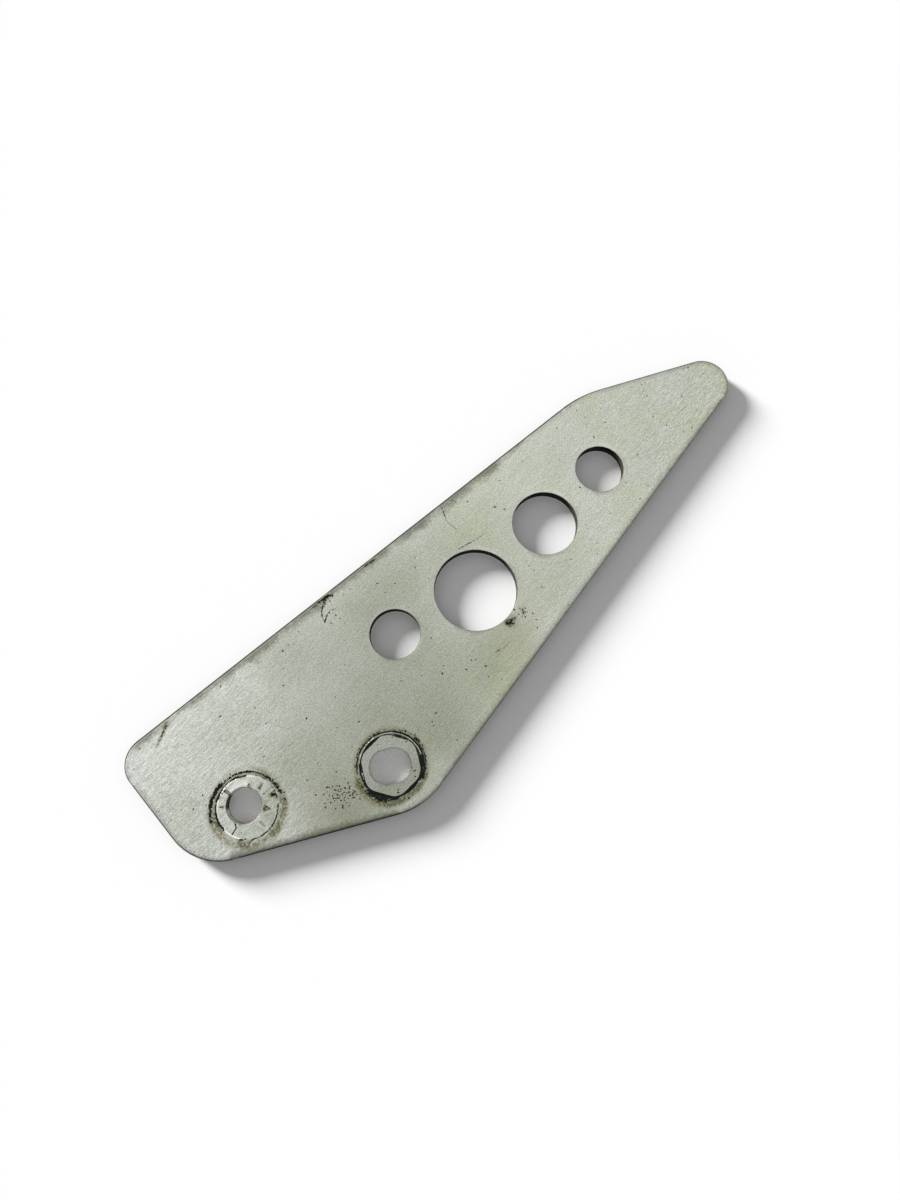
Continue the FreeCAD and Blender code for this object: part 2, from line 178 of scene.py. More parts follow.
# %% [markdown]
# The guard lies on white paper. One flat square, matt and nearly white, does for it. A
# touch of light of its own, which only the camera sees, lifts it to plain white and leaves
# the metal unlit. The square hangs a hair below the plate, so the two never flicker.

# %% The floor
FLOOR_SIZE = 6.0
FLOOR_DROP = -0.02 * MM
FLOOR_LIFT = 0.03
PAPER_WHITE = (0.97, 0.97, 0.97, 1.0)
reach = FLOOR_SIZE / 2
floor_corners = [(-reach, -reach), (reach, -reach), (reach, reach), (-reach, reach)]
floor_mesh = bpy.data.meshes.new("floor")
floor_mesh.from_pydata([(x, y, FLOOR_DROP) for x, y in floor_corners], [], [(0, 1, 2, 3)])
floor = bpy.data.objects.new("floor", floor_mesh)
scene.collection.objects.link(floor)
paper = bpy.data.materials.new("white_paper")
paper.use_nodes = True
paper_tree = paper.node_tree
paper_rays = new_node(paper_tree, "ShaderNodeLightPath").outputs
paper_lift = new_node(paper_tree, "ShaderNodeMath", {
    0: paper_rays["Is Camera Ray"], 1: FLOOR_LIFT}, operation="MULTIPLY")
paper_shader = paper_tree.nodes["Principled BSDF"]
paper_shader.inputs["Base Color"].default_value = PAPER_WHITE
paper_shader.inputs["Roughness"].default_value = 1.0
paper_shader.inputs["Specular IOR Level"].default_value = 0.0
paper_shader.inputs["Emission Color"].default_value = PURE_WHITE
feed(paper_tree, paper_shader.inputs["Emission Strength"], paper_lift.outputs[0])
floor_mesh.materials.append(paper)
print("floor:", FLOOR_SIZE, "m square")

# %% [markdown]
# ## The outline of the plate
#
# The real plate is cut from sheet along five straight lines, and every corner is rounded.
# The construction mesh has the same outline, but its curves are short straight runs and its
# faces are long slivers, which can't hold a dent. So the plate is drawn again from the same
# sizes, as a row of points with a direction pointing outwards at each. With those
# directions, an edge radius or a bevel is only the same row moved inwards a little and
# down a little.

# %% Sizes of the plate in millimetres
THICKNESS = 3.0
FRONT_RADIUS = 0.7
BACK_RADIUS = 0.3
RIM_BEVEL = 0.2
CORNERS = [
    (-44.0, 17.4, 6.5),
    (-29.8, -10.8, 14.0),
    (22.3, -10.8, 18.0),
    (138.1, 80.6, 6.5),
    (85.8, 77.9, 30.0),
]
EDGE_WEB = 12.4
HOLE_WEB = 6.1
SHOULDER_SETBACK = 9.6
HOLE_DIAMETERS = [12.0, 16.0, 20.0, 12.0]
BOLT_RADIUS = 4.0
BOLT_HALF_PITCH = 16.9
SLOT_HALF_TRAVEL = 0.8


def unit(angle):
    """Unit direction for an angle in radians."""
    return np.array([math.cos(angle), math.sin(angle)])


print("plate:", THICKNESS, "mm thick, holes of", HOLE_DIAMETERS, "mm")

# %% [markdown]
# Every corner is an arc that touches its two sides, and its centre follows from the angle
# between them. So the outline never needs a point set by hand. The steps are short on an
# arc, where a long one would show as a flat, and longer on a side. The distance from the
# outline is worked out from the same sides and arcs.

# %% Walk round the outline
SIDE_STEP = 1.2
CORNER_STEP = 0.45
FAR_AWAY = 1e9


def outline_parts():
    """Straight sides and corner arcs of the outline, anticlockwise."""
    spots = [np.array(corner[:2]) for corner in CORNERS]
    headings = []
    for i, spot in enumerate(spots):
        ahead = spots[(i + 1) % len(spots)] - spot
        headings.append(math.atan2(ahead[1], ahead[0]))
    arcs = []
    for i, spot in enumerate(spots):
        radius = CORNERS[i][2]
        turn = (headings[i] - headings[i - 1]) % (2 * math.pi)
        along = unit(headings[i])
        inward = np.array([-along[1], along[0]])
        centre = spot + along * radius * math.tan(turn / 2) + inward * radius
        arcs.append((centre, radius, headings[i - 1] - math.pi / 2, turn))
    sides = []
    for i, (centre, radius, start, turn) in enumerate(arcs):
        next_centre, next_radius, next_start = arcs[(i + 1) % len(arcs)][:3]
        sides.append((centre + radius * unit(start + turn),
                      next_centre + next_radius * unit(next_start)))
    return sides, arcs


def walk_outline(step_on_side, step_on_arc):
    """Points round the outline and the outward direction at each."""
    sides, arcs = outline_parts()
    places = []
    outward = []
    for (begin, end), (centre, radius, start, turn) in zip(sides, arcs):
        count = max(2, math.ceil(radius * turn / step_on_arc))
        for angle in np.linspace(start, start + turn, count + 1):
            places.append(centre + radius * unit(angle))
            outward.append(unit(angle))
        side = end - begin
        count = math.ceil(np.linalg.norm(side) / step_on_side)
        for share in np.linspace(0, 1, count + 1)[1:-1]:
            places.append(begin + side * share)
            outward.append(unit(start + turn))
    return np.array(places), np.array(outward)


def depth_inside(places):
    """Distance of each point from the outline, for points inside it."""
    sides, arcs = outline_parts()
    nearest = np.full(len(places), FAR_AWAY)
    for begin, end in sides:
        length = np.linalg.norm(end - begin)
        along = (end - begin) / length
        travelled = (places - begin) @ along
        inside = (places - begin) @ np.array([-along[1], along[0]])
        beside = (travelled > 0) & (travelled < length)
        nearest = np.where(beside, np.minimum(nearest, inside), nearest)
    for centre, radius, start, turn in arcs:
        from_centre = places - centre
        swing = np.arctan2(from_centre[:, 1], from_centre[:, 0]) - start
        in_fan = swing % (2 * math.pi) < turn
        inside = radius - np.hypot(from_centre[:, 0], from_centre[:, 1])
        nearest = np.where(in_fan, np.minimum(nearest, inside), nearest)
    return nearest


outline, outline_out = walk_outline(SIDE_STEP, CORNER_STEP)
print("outline:", len(outline), "points,", np.round(np.ptp(outline, axis=0), 2), "mm")

# %% [markdown]
# ## The holes
#
# The four lightening holes hang from the long top edge: every rim keeps the same distance
# from it, and the web between two holes is always the same. Their centres follow from that
# rule. The bolt holes are a round one and a short slot. Each rim is walked clockwise, so
# that the metal lies on the same hand as it does on the outline.

# %% Find the hole centres
def lightening_holes():
    """Centre and radius of each lightening hole, from the shoulder downwards."""
    rear = np.array(CORNERS[0][:2])
    shoulder = np.array(CORNERS[4][:2])
    back = (rear - shoulder) / np.linalg.norm(rear - shoulder)
    down = np.array([-back[1], back[0]])
    along = SHOULDER_SETBACK
    found = []
    for i, diameter in enumerate(HOLE_DIAMETERS):
        radius = diameter / 2
        if i > 0:
            apart = found[-1][1] + HOLE_WEB + radius
            along += math.sqrt(apart ** 2 - (radius - found[-1][1]) ** 2)
        found.append((shoulder + back * along + down * (EDGE_WEB + radius), radius))
    return found


round_bolt = np.array([-BOLT_HALF_PITCH, 0.0])
slot_left = np.array([BOLT_HALF_PITCH - SLOT_HALF_TRAVEL, 0.0])
slot_right = np.array([BOLT_HALF_PITCH + SLOT_HALF_TRAVEL, 0.0])
openings = [(centre, centre, radius) for centre, radius in lightening_holes()]
openings.append((round_bolt, round_bolt, BOLT_RADIUS))
openings.append((slot_left, slot_right, BOLT_RADIUS))
print("hole centres:", [np.round(left, 1).tolist() for left, right, radius in openings])

# %% [markdown]
# Round hole and slot are the same thing to walk round: two half circles, whose centres
# fall together in a round hole. The steps are about a third of a millimetre, finer than
# the outline's, because the rims are what the eye reads roundness from.

# %% Walk round each rim
RIM_STEP = 0.36


def walk_rim(left_centre, right_centre, radius, step):
    """Points clockwise round a hole or slot, and the direction into the opening at each."""
    half = max(8, math.ceil(math.pi * radius / step))
    straight = not np.allclose(left_centre, right_centre)
    places = []
    inwards = []
    for centre, start in ((right_centre, math.pi / 2), (left_centre, -math.pi / 2)):
        for angle in np.linspace(start, start - math.pi, half + 1)[: half + int(straight)]:
            places.append(centre + radius * unit(angle))
            inwards.append(-unit(angle))
    return np.array(places), np.array(inwards)


def distance_to_opening(places, opening):
    """Distance of each point from the wall of one hole or slot, positive in the metal."""
    left, right, radius = opening
    nearest = places.copy()
    nearest[:, 0] = np.clip(places[:, 0], left[0], right[0])
    nearest[:, 1] = left[1]
    away = places - nearest
    return np.hypot(away[:, 0], away[:, 1]) - radius


rims = [walk_rim(left, right, radius, RIM_STEP) for left, right, radius in openings]
print("points on each rim:", [len(places) for places, inwards in rims])

# %% [markdown]
# ## Where to put the points of the face
#
# A dent can only be as fine as the points that carry it. Filling the whole face at the
# fineness of a washer mark would take a million points, so the points are graded: rings a
# tenth of a millimetre apart round the two seats, strips that follow the outline, small
# flowers round each scratch, and a loose grid for all the rest. A Delaunay fill then joins
# them with the best-shaped triangles it can find.

# %% Named places of the wear, in millimetres on the face
WASHER_CENTRE = np.array([-16.1, -0.6])
WASHER_RING = 7.1
HEAD_CENTRE = np.array([17.2, 0.1])
SEAT_REACH = 10.4
SMUDGE = np.array([11.0, 42.2])
SMUDGE_BAR = [(11.6, 42.4), (10.4, 41.9), (8.0, 40.7)]
SMUDGE_TAIL = [(11.4, 42.2), (13.2, 42.4)]
SMUDGE_STEM = [(11.0, 42.0), (10.5, 40.0)]
SMUDGE_STRAND = [(10.1, 40.2), (9.6, 38.6), (9.5, 37.6), (9.9, 36.4)]
SMUDGE_HOOK = [(9.9, 36.4), (10.8, 37.9), (11.9, 38.8), (13.3, 38.9)]
REAR_STREAK = [(-30.6, 22.3), (-31.2, 21.2), (-32.2, 19.6), (-33.6, 17.6)]
NOTCH_SCRATCH = [(44.0, 57.9), (44.3, 53.6), (47.8, 48.1)]
BOW_SCRATCH = [(45.4, 45.8), (50.8, 47.3), (53.1, 48.3)]
WEB_SCRATCH = [(47.3, 19.2), (49.6, 19.6), (51.7, 20.9)]
GRIME_STRAND = [(51.8, 25.3), (52.4, 24.6), (53.0, 25.4), (54.4, 26.1)]
GRIME_BLOB = [(51.6, 25.0), (52.2, 24.7)]
GRIME_TICK = [(56.2, 27.4), (56.3, 26.5), (55.6, 25.7)]
GRIME_DROP = np.array([52.8, 22.4])
SMUDGE_DROP = [(11.3, 35.7), (11.5, 36.2)]
TOP_EDGE_BLACK = [(24.6, 48.4), (22.8, 47.6), (21.2, 46.8)]
WASHER_CRACK = [(-19.5, -2.4), (-19.5, -3.1), (-19.4, -3.9), (-19.5, -4.4), (-20.6, -5.5)]
WASHER_NICK = [(-16.1, -7.7), (-17.4, -8.3)]
STROKES = [
    (SMUDGE_BAR, 0.60, 1.35), (SMUDGE_TAIL, 0.40, 1.1), (SMUDGE_STEM, 0.50, 1.15),
    (SMUDGE_STRAND, 0.24, 1.35), (SMUDGE_HOOK, 0.22, 1.35), (REAR_STREAK, 0.36, 0.95),
    (TOP_EDGE_BLACK, 0.35, 1.1), (SMUDGE_DROP, 0.35, 0.7),
    (NOTCH_SCRATCH, 0.22, 0.8), (BOW_SCRATCH, 0.2, 0.8), (WEB_SCRATCH, 0.22, 0.75),
    (GRIME_TICK, 0.24, 0.9), (WASHER_NICK, 0.22, 1.0),
    (GRIME_STRAND, 0.36, 1.05), (GRIME_BLOB, 0.42, 0.62),
]
SMEARED_STROKES = [
    (REAR_STREAK, 0.85, 1.3), (SMUDGE_BAR, 1.2, 1.0), (SMUDGE_STEM, 0.9, 0.8),
    (TOP_EDGE_BLACK, 0.9, 0.9), (GRIME_TICK, 0.8, 0.7), (GRIME_STRAND, 1.2, 0.8),
]
PITS = [
    (34.7, 46.3), (-10.1, 20.7), (-18.3, 20.8), (-10.6, 11.3), (-10.3, 9.3),
    (12.4, 11.5), (27.3, 7.4), (28.9, 6.2), (-1.2, 32.1), (-1.8, 27.9),
    (50.6, 57.0), (56.8, 54.0), (90.1, 72.9), (77.7, 70.4),
    (17.4, -6.1), (17.6, -5.6), (22.0, -3.7), (22.2, -2.4), (15.4, 5.3), (21.9, 4.3),
]
GRIME_HEAP = np.array([52.7, 25.4])
GRIME_CRUMBS = np.array([55.9, 26.6])
SPECKLE_PATCH = np.array([5.0, -3.4])
print("places:", len(STROKES), "strokes,", len(PITS), "pits")

# %% [markdown]
# Two questions come up again and again: how far is a point from a spot, and how far is it
# from a scratch. A scratch is a path of straight runs. Its answer also says how far along
# the path the nearest place lies, because a scratch fades towards its end.

# %% Distances from a spot and from a path
def distance_to_spot(places, spot):
    """Distance of each point from one spot."""
    return np.hypot(places[:, 0] - spot[0], places[:, 1] - spot[1])


def halo(places, spot, reach):
    """1 at a spot, fading out softly over a reach."""
    return np.exp(-(distance_to_spot(places, spot) / reach) ** 2)


def distance_to_path(places, path):
    """Distance of each point from a path of straight runs, and its share along it."""
    nearest = np.full(len(places), FAR_AWAY)
    share = np.zeros(len(places))
    runs = len(path) - 1
    for i in range(runs):
        begin = np.array(path[i])
        run = np.array(path[i + 1]) - begin
        along = np.clip(((places - begin) @ run) / (run @ run), 0, 1)
        distance = np.hypot(*(places - begin - along[:, None] * run).T)
        share = np.where(distance < nearest, (i + along) / runs, share)
        nearest = np.minimum(nearest, distance)
    return nearest, share


# %% [markdown]
# The random numbers are drawn from one seeded source, so the plate comes out the same each
# time. Every grid point is nudged a little, since a perfect grid would show in a grazing
# light as rows.

# %% Spread the points
SEAT_STEP = 0.17
STROKE_STEP = 0.16
STROKE_REACH = 0.9
PIT_STEP = 0.17
PIT_REACH = 0.6
HEAP_STEP = 0.20
HEAPS = [(SMUDGE, 2.6), (GRIME_HEAP, 1.6), (GRIME_CRUMBS, 1.2)]
STRIP_INSETS = (1.0, 1.35, 1.8, 2.4, 3.1)
FACE_STEP = 1.15
TRIANGLE_ROW = 0.866
NUDGE = 0.12
rng = np.random.default_rng(7)


def grid_points(low, high, spacing):
    """Triangular grid over a rectangle, with every point nudged a little."""
    rows = np.arange(low[1], high[1], spacing * TRIANGLE_ROW)
    points = []
    for number, y in enumerate(rows):
        x = np.arange(low[0] + (number % 2) * spacing / 2, high[0], spacing)
        points.append(np.column_stack([x, np.full(len(x), y)]))
    points = np.concatenate(points)
    return points + rng.uniform(-NUDGE, NUDGE, points.shape) * spacing


def ring_points(centre, radii, spacing):
    """Rings of points, each turned by a random part of a step."""
    points = []
    for radius in radii:
        count = int(2 * math.pi * radius / spacing)
        angles = (np.arange(count) + rng.random()) * 2 * math.pi / count
        points.append(centre + radius * np.column_stack([np.cos(angles), np.sin(angles)]))
    return np.concatenate(points)


def flower_points(path, reach, spacing):
    """Fine grid round a path, for a scratch or a smudge."""
    corners = np.array(path)
    points = grid_points(corners.min(0) - reach, corners.max(0) + reach, spacing)
    return points[distance_to_path(points, path)[0] < reach]


seat_radii = np.concatenate([
    np.arange(3.6, 6.3, 0.22), np.arange(6.3, 8.2, 0.10), np.arange(8.2, SEAT_REACH, 0.24)])
fine = [ring_points(centre, seat_radii, SEAT_STEP) for centre in (WASHER_CENTRE, HEAD_CENTRE)]
for path, width, amount in STROKES:
    fine.append(flower_points(path, STROKE_REACH, STROKE_STEP))
for x, y in PITS:
    fine.append(flower_points([(x - 0.05, y), (x + 0.05, y)], PIT_REACH, PIT_STEP))
for place, reach in HEAPS:
    fine.append(flower_points([tuple(place), tuple(place + 0.05)], reach, HEAP_STEP))
fine = np.concatenate(fine)
strips = [outline - outline_out * inset for inset in STRIP_INSETS]
coarse = grid_points(outline.min(0), outline.max(0), FACE_STEP)
print("fine points", len(fine), "coarse points", len(coarse))

# %% [markdown]
# Points from different nets overlap, and some lie in a hole. The fine ones win: a coarse
# point is kept only where no fine one is near, and every point stays clear of the rounded
# edges, which have rows of their own.

# %% Keep the points that lie on the metal and aren't crowded
FINE_MARGIN = 0.12
STRIP_MARGIN = 0.2
COARSE_MARGIN = 0.45
COARSE_BEGINS = 3.6
CLOSEST = 0.07
CROWDED = 0.8


def on_metal(points, margin):
    """True for points that clear the outline and every hole."""
    clear = depth_inside(points) > FRONT_RADIUS + margin
    for opening in openings:
        clear &= distance_to_opening(points, opening) > RIM_BEVEL + margin
    return clear


def thinned(points, spacing):
    """Drop every point that shares a small square with an earlier one."""
    cells = np.round(points / spacing).astype(int)
    keep = np.unique(cells, axis=0, return_index=True)[1]
    return points[np.sort(keep)]


def near_fine(points, reach):
    """True for coarse points that fine points already surround."""
    filled = {tuple(cell) for cell in np.round(fine / reach).astype(int)}
    cells = np.round(points / reach).astype(int)
    return np.array([tuple(cell) in filled for cell in cells])


fine = fine[on_metal(fine, FINE_MARGIN)]
fine = thinned(fine, CLOSEST)
strips = np.concatenate(strips)
strips = strips[on_metal(strips, STRIP_MARGIN)]
coarse = coarse[on_metal(coarse, COARSE_MARGIN) & (depth_inside(coarse) > COARSE_BEGINS)]
inner = np.concatenate([strips, coarse])
inner = inner[~near_fine(inner, CROWDED)]
inner = np.concatenate([fine, inner])
print("points on the face:", len(inner))

# %% [markdown]
# ## The worn surface as a height
#
# Every dent is a small number to add to the flat face, so the whole history of the plate is
# one height function. Smooth hills and steps are its letters. A seat is a step down, a ring
# scratch is a hill turned upside down, and a bit of noise along the angle breaks what would
# otherwise look turned on a lathe.

# %% Letters: steps, hills, fans and ripples
def smooth(value):
    """Soft step from 0 to 1."""
    t = np.clip(value, 0, 1)
    return t * t * (3 - 2 * t)


def hill(value, middle, half_width):
    """Soft hill that is 1 at its middle and 0 beyond its half width."""
    return smooth(1 - np.abs(value - middle) / half_width)


def fan(angle, begin, end, fade):
    """1 between two directions in degrees, fading out beyond them."""
    middle = (begin + end) / 2
    half = (end - begin) / 2
    away = np.abs((angle - middle + 180) % 360 - 180) - half
    return 1 - smooth(away / fade)


def ripple(places, size, seed):
    """Smooth noise from 0 to 1 over the face, with features of about this size."""
    values = [noise.noise(Vector((x / size, y / size, seed))) for x, y in places]
    return np.clip(np.array(values) * 0.75 + 0.5, 0, 1)


def polar(places, centre):
    """Distance and direction in degrees of each point from a centre."""
    away = places - centre
    return np.hypot(away[:, 0], away[:, 1]), np.degrees(np.arctan2(away[:, 1], away[:, 0]))


# %% [markdown]
# The lock washer turned on the plate while its bolt was done up. It left a pressed land, a
# scribed ring that is steep on its inner side, and the marks of its teeth. A picture laid
# on the face would show the marks but not catch the light, so they are cut into the height.

# %% Height of the washer's seat
WASHER_LAND = 0.015
WASHER_GROOVE = 0.15
TOOTH_DEPTH = 0.05
TOOTH_MARKS = [
    # direction in degrees, inner and outer radius, half width at each, darkness
    (-18, 3.6, 5.20, 0.85, 0.08, 1.00),
    (75, 3.8, 5.25, 0.75, 0.06, 0.85),
    (45, 4.6, 6.15, 0.32, 0.14, 0.85),
    (13, 5.4, 6.60, 0.30, 0.60, 0.95),
    (-60, 4.2, 5.90, 0.28, 0.12, 0.60),
    (131, 4.7, 6.40, 0.26, 0.38, 0.85),
    (165, 5.2, 6.40, 0.24, 0.06, 0.85),
    (3, 4.0, 5.30, 0.26, 0.10, 0.30),
]


def tooth_marks(places):
    """How dark and how deep each point lies in a tooth mark. Both run from 0 to 1."""
    darkest = np.zeros(len(places))
    deepest = np.zeros(len(places))
    for degrees, inner_end, outer_end, inner_half, outer_half, amount in TOOTH_MARKS:
        along_axis = unit(math.radians(degrees))
        away = places - WASHER_CENTRE
        along = away @ along_axis
        across = away @ np.array([-along_axis[1], along_axis[0]])
        share = np.clip((along - inner_end) / (outer_end - inner_end), 0, 1)
        inside = inner_half + (outer_half - inner_half) * share - np.abs(across)
        inside = np.minimum(inside, np.minimum(along - inner_end, outer_end - along) * 1.2)
        fill = smooth(inside / 0.14 + 0.6)
        rim = hill(inside, 0.04, 0.17)
        darkest = np.maximum(darkest, amount * np.clip(0.72 * fill + 0.60 * rim, 0, 1))
        deepest = np.maximum(deepest, amount * smooth(inside / 0.3 + 0.4))
    return darkest, deepest


def washer_height(places):
    """Pressed land, scribed ring with a steep inner and a gentle outer side, tooth marks."""
    radius, angle = polar(places, WASHER_CENTRE)
    wander = ripple(places, 1.6, 3.0)
    land = WASHER_LAND * (1 - smooth((radius - 6.6) / 0.3))
    groove = smooth((radius - WASHER_RING + 0.3) / 0.22) * (1 - smooth((radius - 7.0) / 0.95))
    groove *= 1 - 0.75 * fan(angle, -112, 4, 16)
    groove *= WASHER_GROOVE * (0.55 + 0.45 * wander)
    return land - groove - TOOTH_DEPTH * tooth_marks(places)[1]


print("washer's seat:", len(TOOTH_MARKS), "tooth marks,", WASHER_GROOVE, "mm at the deepest")

# %% [markdown]
# A hexagon head with worn corners sat on the slot. It rubbed its own six-sided land clean
# and pushed dirt and metal into a ring round it. The distance outside a rounded hexagon is
# found by folding the plane, so one side stands for all six.

# %% Height of the hexagon's seat
HEXAGON_HALF_FLATS = 6.4
HEXAGON_WORN_RADIUS = 3.2
HEAD_LAND = 0.01
HEAD_GAP = 0.17


def outside_hexagon(places):
    """Distance outside the worn hexagon, whose flats face along X."""
    apothem = HEXAGON_HALF_FLATS - HEXAGON_WORN_RADIUS
    half_side = apothem * math.tan(math.radians(30))
    away = np.abs(places - HEAD_CENTRE)
    fold = np.array([-0.5, 0.8660254])
    past = np.maximum(away @ fold, 0)
    away = away - 2 * past[:, None] * fold
    beyond = away[:, 0] - apothem
    beside = away[:, 1] - np.clip(away[:, 1], -half_side, half_side)
    distance = np.where(beyond > 0, np.hypot(beyond, beside), beyond)
    return distance - HEXAGON_WORN_RADIUS


def head_height(places):
    """Clean land and the scraped ring round it, with a gentle outer side."""
    radius, angle = polar(places, HEAD_CENTRE)
    wander = ripple(places, 1.3, 5.0)
    gap = smooth(outside_hexagon(places) / 0.16) * (1 - smooth((radius - 7.0) / 0.7))
    gap *= 1 - 0.75 * fan(angle, -95, 6, 14)
    land = -HEAD_LAND * (1 - smooth((radius - 6.2) / 0.5))
    return land - HEAD_GAP * gap * (0.7 + 0.3 * wander)


print("hexagon:", 2 * HEXAGON_HALF_FLATS, "mm across its flats")

# %% [markdown]
# The rest is small: scratches, pits, and a very slow wave that stops the face from
# mirroring like glass. The wave fades out at the rounded edge, which keeps its true size.

# %% Height of everything else
SCRATCH_DEPTH = 0.03
PIT_DEPTH = 0.09
PIT_WIDTH = 0.42
WAVE_HEIGHT = 0.010
WAVE_LENGTH = 14.0


def scratch_height(places):
    """Scratches and pits, each a shallow valley."""
    total = np.zeros(len(places))
    for path, width, amount in STROKES:
        total -= SCRATCH_DEPTH * smooth(1 - distance_to_path(places, path)[0] / width)
    for pit in PITS:
        total -= PIT_DEPTH * smooth(1 - distance_to_spot(places, pit) / PIT_WIDTH)
    return total


def face_height(places):
    """Height of the worn face over the flat one, in millimetres."""
    calm = smooth((depth_inside(places) - FRONT_RADIUS) / 2.0)
    waves = WAVE_HEIGHT * (ripple(places, WAVE_LENGTH, 1.0) - 0.5) * calm
    return waves + washer_height(places) + head_height(places) + scratch_height(places)


# %% [markdown]
# ## The body of the plate
#
# Sheet metal has three kinds of surface: a face, a rolled edge and a cut wall. Here the edge
# and wall are strips between rows of points, one row for each step of the profile. The face
# and the back are Delaunay fills between the innermost rows. Everything shares its points,
# so the plate comes out as one closed skin.

# %% Lists that the plate grows in
plate_points = []
plate_faces = []
plate_kinds = []
# places of the three finishes in the plate's list of materials
FACE, WALL, BORE = 0, 1, 2


def add_row(row, heights):
    """Add one row of points and return their numbers."""
    first = len(plate_points)
    for (x, y), z in zip(row, heights):
        plate_points.append((x, y, z))
    return list(range(first, first + len(row)))


def join_rows(upper, lower, kind):
    """Close the strip between two rows with quads that face away from the metal."""
    count = len(upper)
    for i in range(count):
        j = (i + 1) % count
        plate_faces.append((lower[i], lower[j], upper[j], upper[i]))
        plate_kinds.append(kind)


# %% [markdown]
# A profile says how far each row lies from the wall and how high. The outline has a
# rounded front edge and a smaller rounding at the back. The holes have only a small bevel.
# The worn height of the face is faded out over the first rows of a rim, so the wear reaches
# the edge without a step.

# %% Profiles of the outer edge and of the rims
def rolled_profile(radius, at_front, steps):
    """Inset and height of each row round a rolled edge, from the face downwards."""
    rows = []
    for swing in np.linspace(0, math.pi / 2, steps + 1):
        inset = radius * (1 - math.sin(swing))
        drop = radius * (1 - math.cos(swing))
        rows.append((inset, THICKNESS - drop) if at_front else (inset, drop))
    return rows if at_front else rows[::-1]


FRONT_STEPS = 7
BACK_STEPS = 4
EDGE_WALL_ROWS = [(0, 1.9), (0, 1.2), (0, 0.6)]
RIM_WALL_ROWS = [(0, 2.2), (0, 1.5), (0, 0.8)]
# inset and drop, from the edge of the bevel to the wall
BEVEL_ROWS = [(RIM_BEVEL, 0.0), (0.09, 0.07), (0.02, 0.15), (0, 0.3)]
edge_profile = rolled_profile(FRONT_RADIUS, True, FRONT_STEPS) + EDGE_WALL_ROWS
edge_profile += rolled_profile(BACK_RADIUS, False, BACK_STEPS)
rim_profile = [(inset, THICKNESS - drop) for inset, drop in BEVEL_ROWS]
rim_profile += RIM_WALL_ROWS + BEVEL_ROWS[::-1]
print("rows on the outline:", len(edge_profile), "and on a rim:", len(rim_profile))

# %% [markdown]
# Each row of a profile is the outline or a rim moved inwards, and every two rows are joined
# by a strip. The upper strips get the finish of the face, the ones below it the finish of
# the wall. The first and the last row are kept, because the two fills begin there.

# %% Build the edges
WORN_ROWS = 3
EDGE_WALL_TOP = 2.2
RIM_WALL_TOP = 2.75
LIGHTENING_HOLES = len(HOLE_DIAMETERS)


def build_edge(places, outward, profile, worn_rows, wall_kind, wall_top):
    """Strip from the face round to the back. Returns the first and the last row."""
    rows = []
    for number, (inset, z) in enumerate(profile):
        row = places - outward * inset
        heights = np.full(len(row), z)
        if number < worn_rows:
            dents = np.minimum(face_height(row), 0)
            heights += dents * (1 - number / worn_rows)
        rows.append(add_row(row, heights))
    for upper, lower, (inset, z) in zip(rows, rows[1:], profile[1:]):
        wall = z < wall_top and plate_points[upper[0]][2] > BACK_RADIUS
        join_rows(upper, lower, wall_kind if wall else FACE)
    return rows[0], rows[-1]


front_rows = []
back_rows = []
first, last = build_edge(outline, outline_out, edge_profile, 0, WALL, EDGE_WALL_TOP)
front_rows.append(first)
back_rows.append(last)
for number, (places, inwards) in enumerate(rims):
    kind = WALL if number < LIGHTENING_HOLES else BORE
    first, last = build_edge(places, inwards, rim_profile, WORN_ROWS, kind, RIM_WALL_TOP)
    front_rows.append(first)
    back_rows.append(last)
print("edge strips:", len(plate_points), "points,", len(plate_faces), "quads")

# %% [markdown]
# The face is filled between the innermost rows. A Delaunay fill joins the points with the
# best-shaped triangles and keeps the rows as borders. It fills the holes too, so triangles
# whose middle lies in one are left out. The back is flat and needs only a loose grid.

# %% Fill the face and the back
BACK_STEP = 3.0
SAME_POINT = 1e-6


def fill_between(rows, extra, upwards):
    """Delaunay triangles between rows of the plate and some points inside them."""
    numbers = [number for row in rows for number in row] + extra
    flat = [Vector(plate_points[number][:2]) for number in numbers]
    borders = []
    begin = 0
    for row in rows:
        count = len(row)
        borders += [(begin + i, begin + (i + 1) % count) for i in range(count)]
        begin += count
    fill = geometry.delaunay_2d_cdt(flat, borders, [], 1, SAME_POINT)
    spots, triangles, sources = fill[0], fill[2], fill[3]
    middles = np.array([np.mean([spots[c] for c in t], axis=0) for t in triangles])
    metal = depth_inside(middles) > 0
    for opening in openings:
        metal &= distance_to_opening(middles, opening) > RIM_BEVEL
    for triangle, solid in zip(triangles, metal):
        if not solid:
            continue
        a, b, c = (numbers[sources[corner][0]] for corner in triangle)
        turn = (spots[triangle[1]] - spots[triangle[0]]).cross(
            spots[triangle[2]] - spots[triangle[0]])
        plate_faces.append((a, b, c) if (turn > 0) == upwards else (a, c, b))
        plate_kinds.append(FACE)
    return int(metal.sum())


face_numbers = add_row(inner, THICKNESS + face_height(inner))
back_grid = grid_points(outline.min(0), outline.max(0), BACK_STEP)
back_grid = back_grid[on_metal(back_grid, 1.0)]
back_numbers = add_row(back_grid, np.zeros(len(back_grid)))
print("triangles on the face:", fill_between(front_rows, face_numbers, True))
print("triangles on the back:", fill_between(back_rows, back_numbers, False))
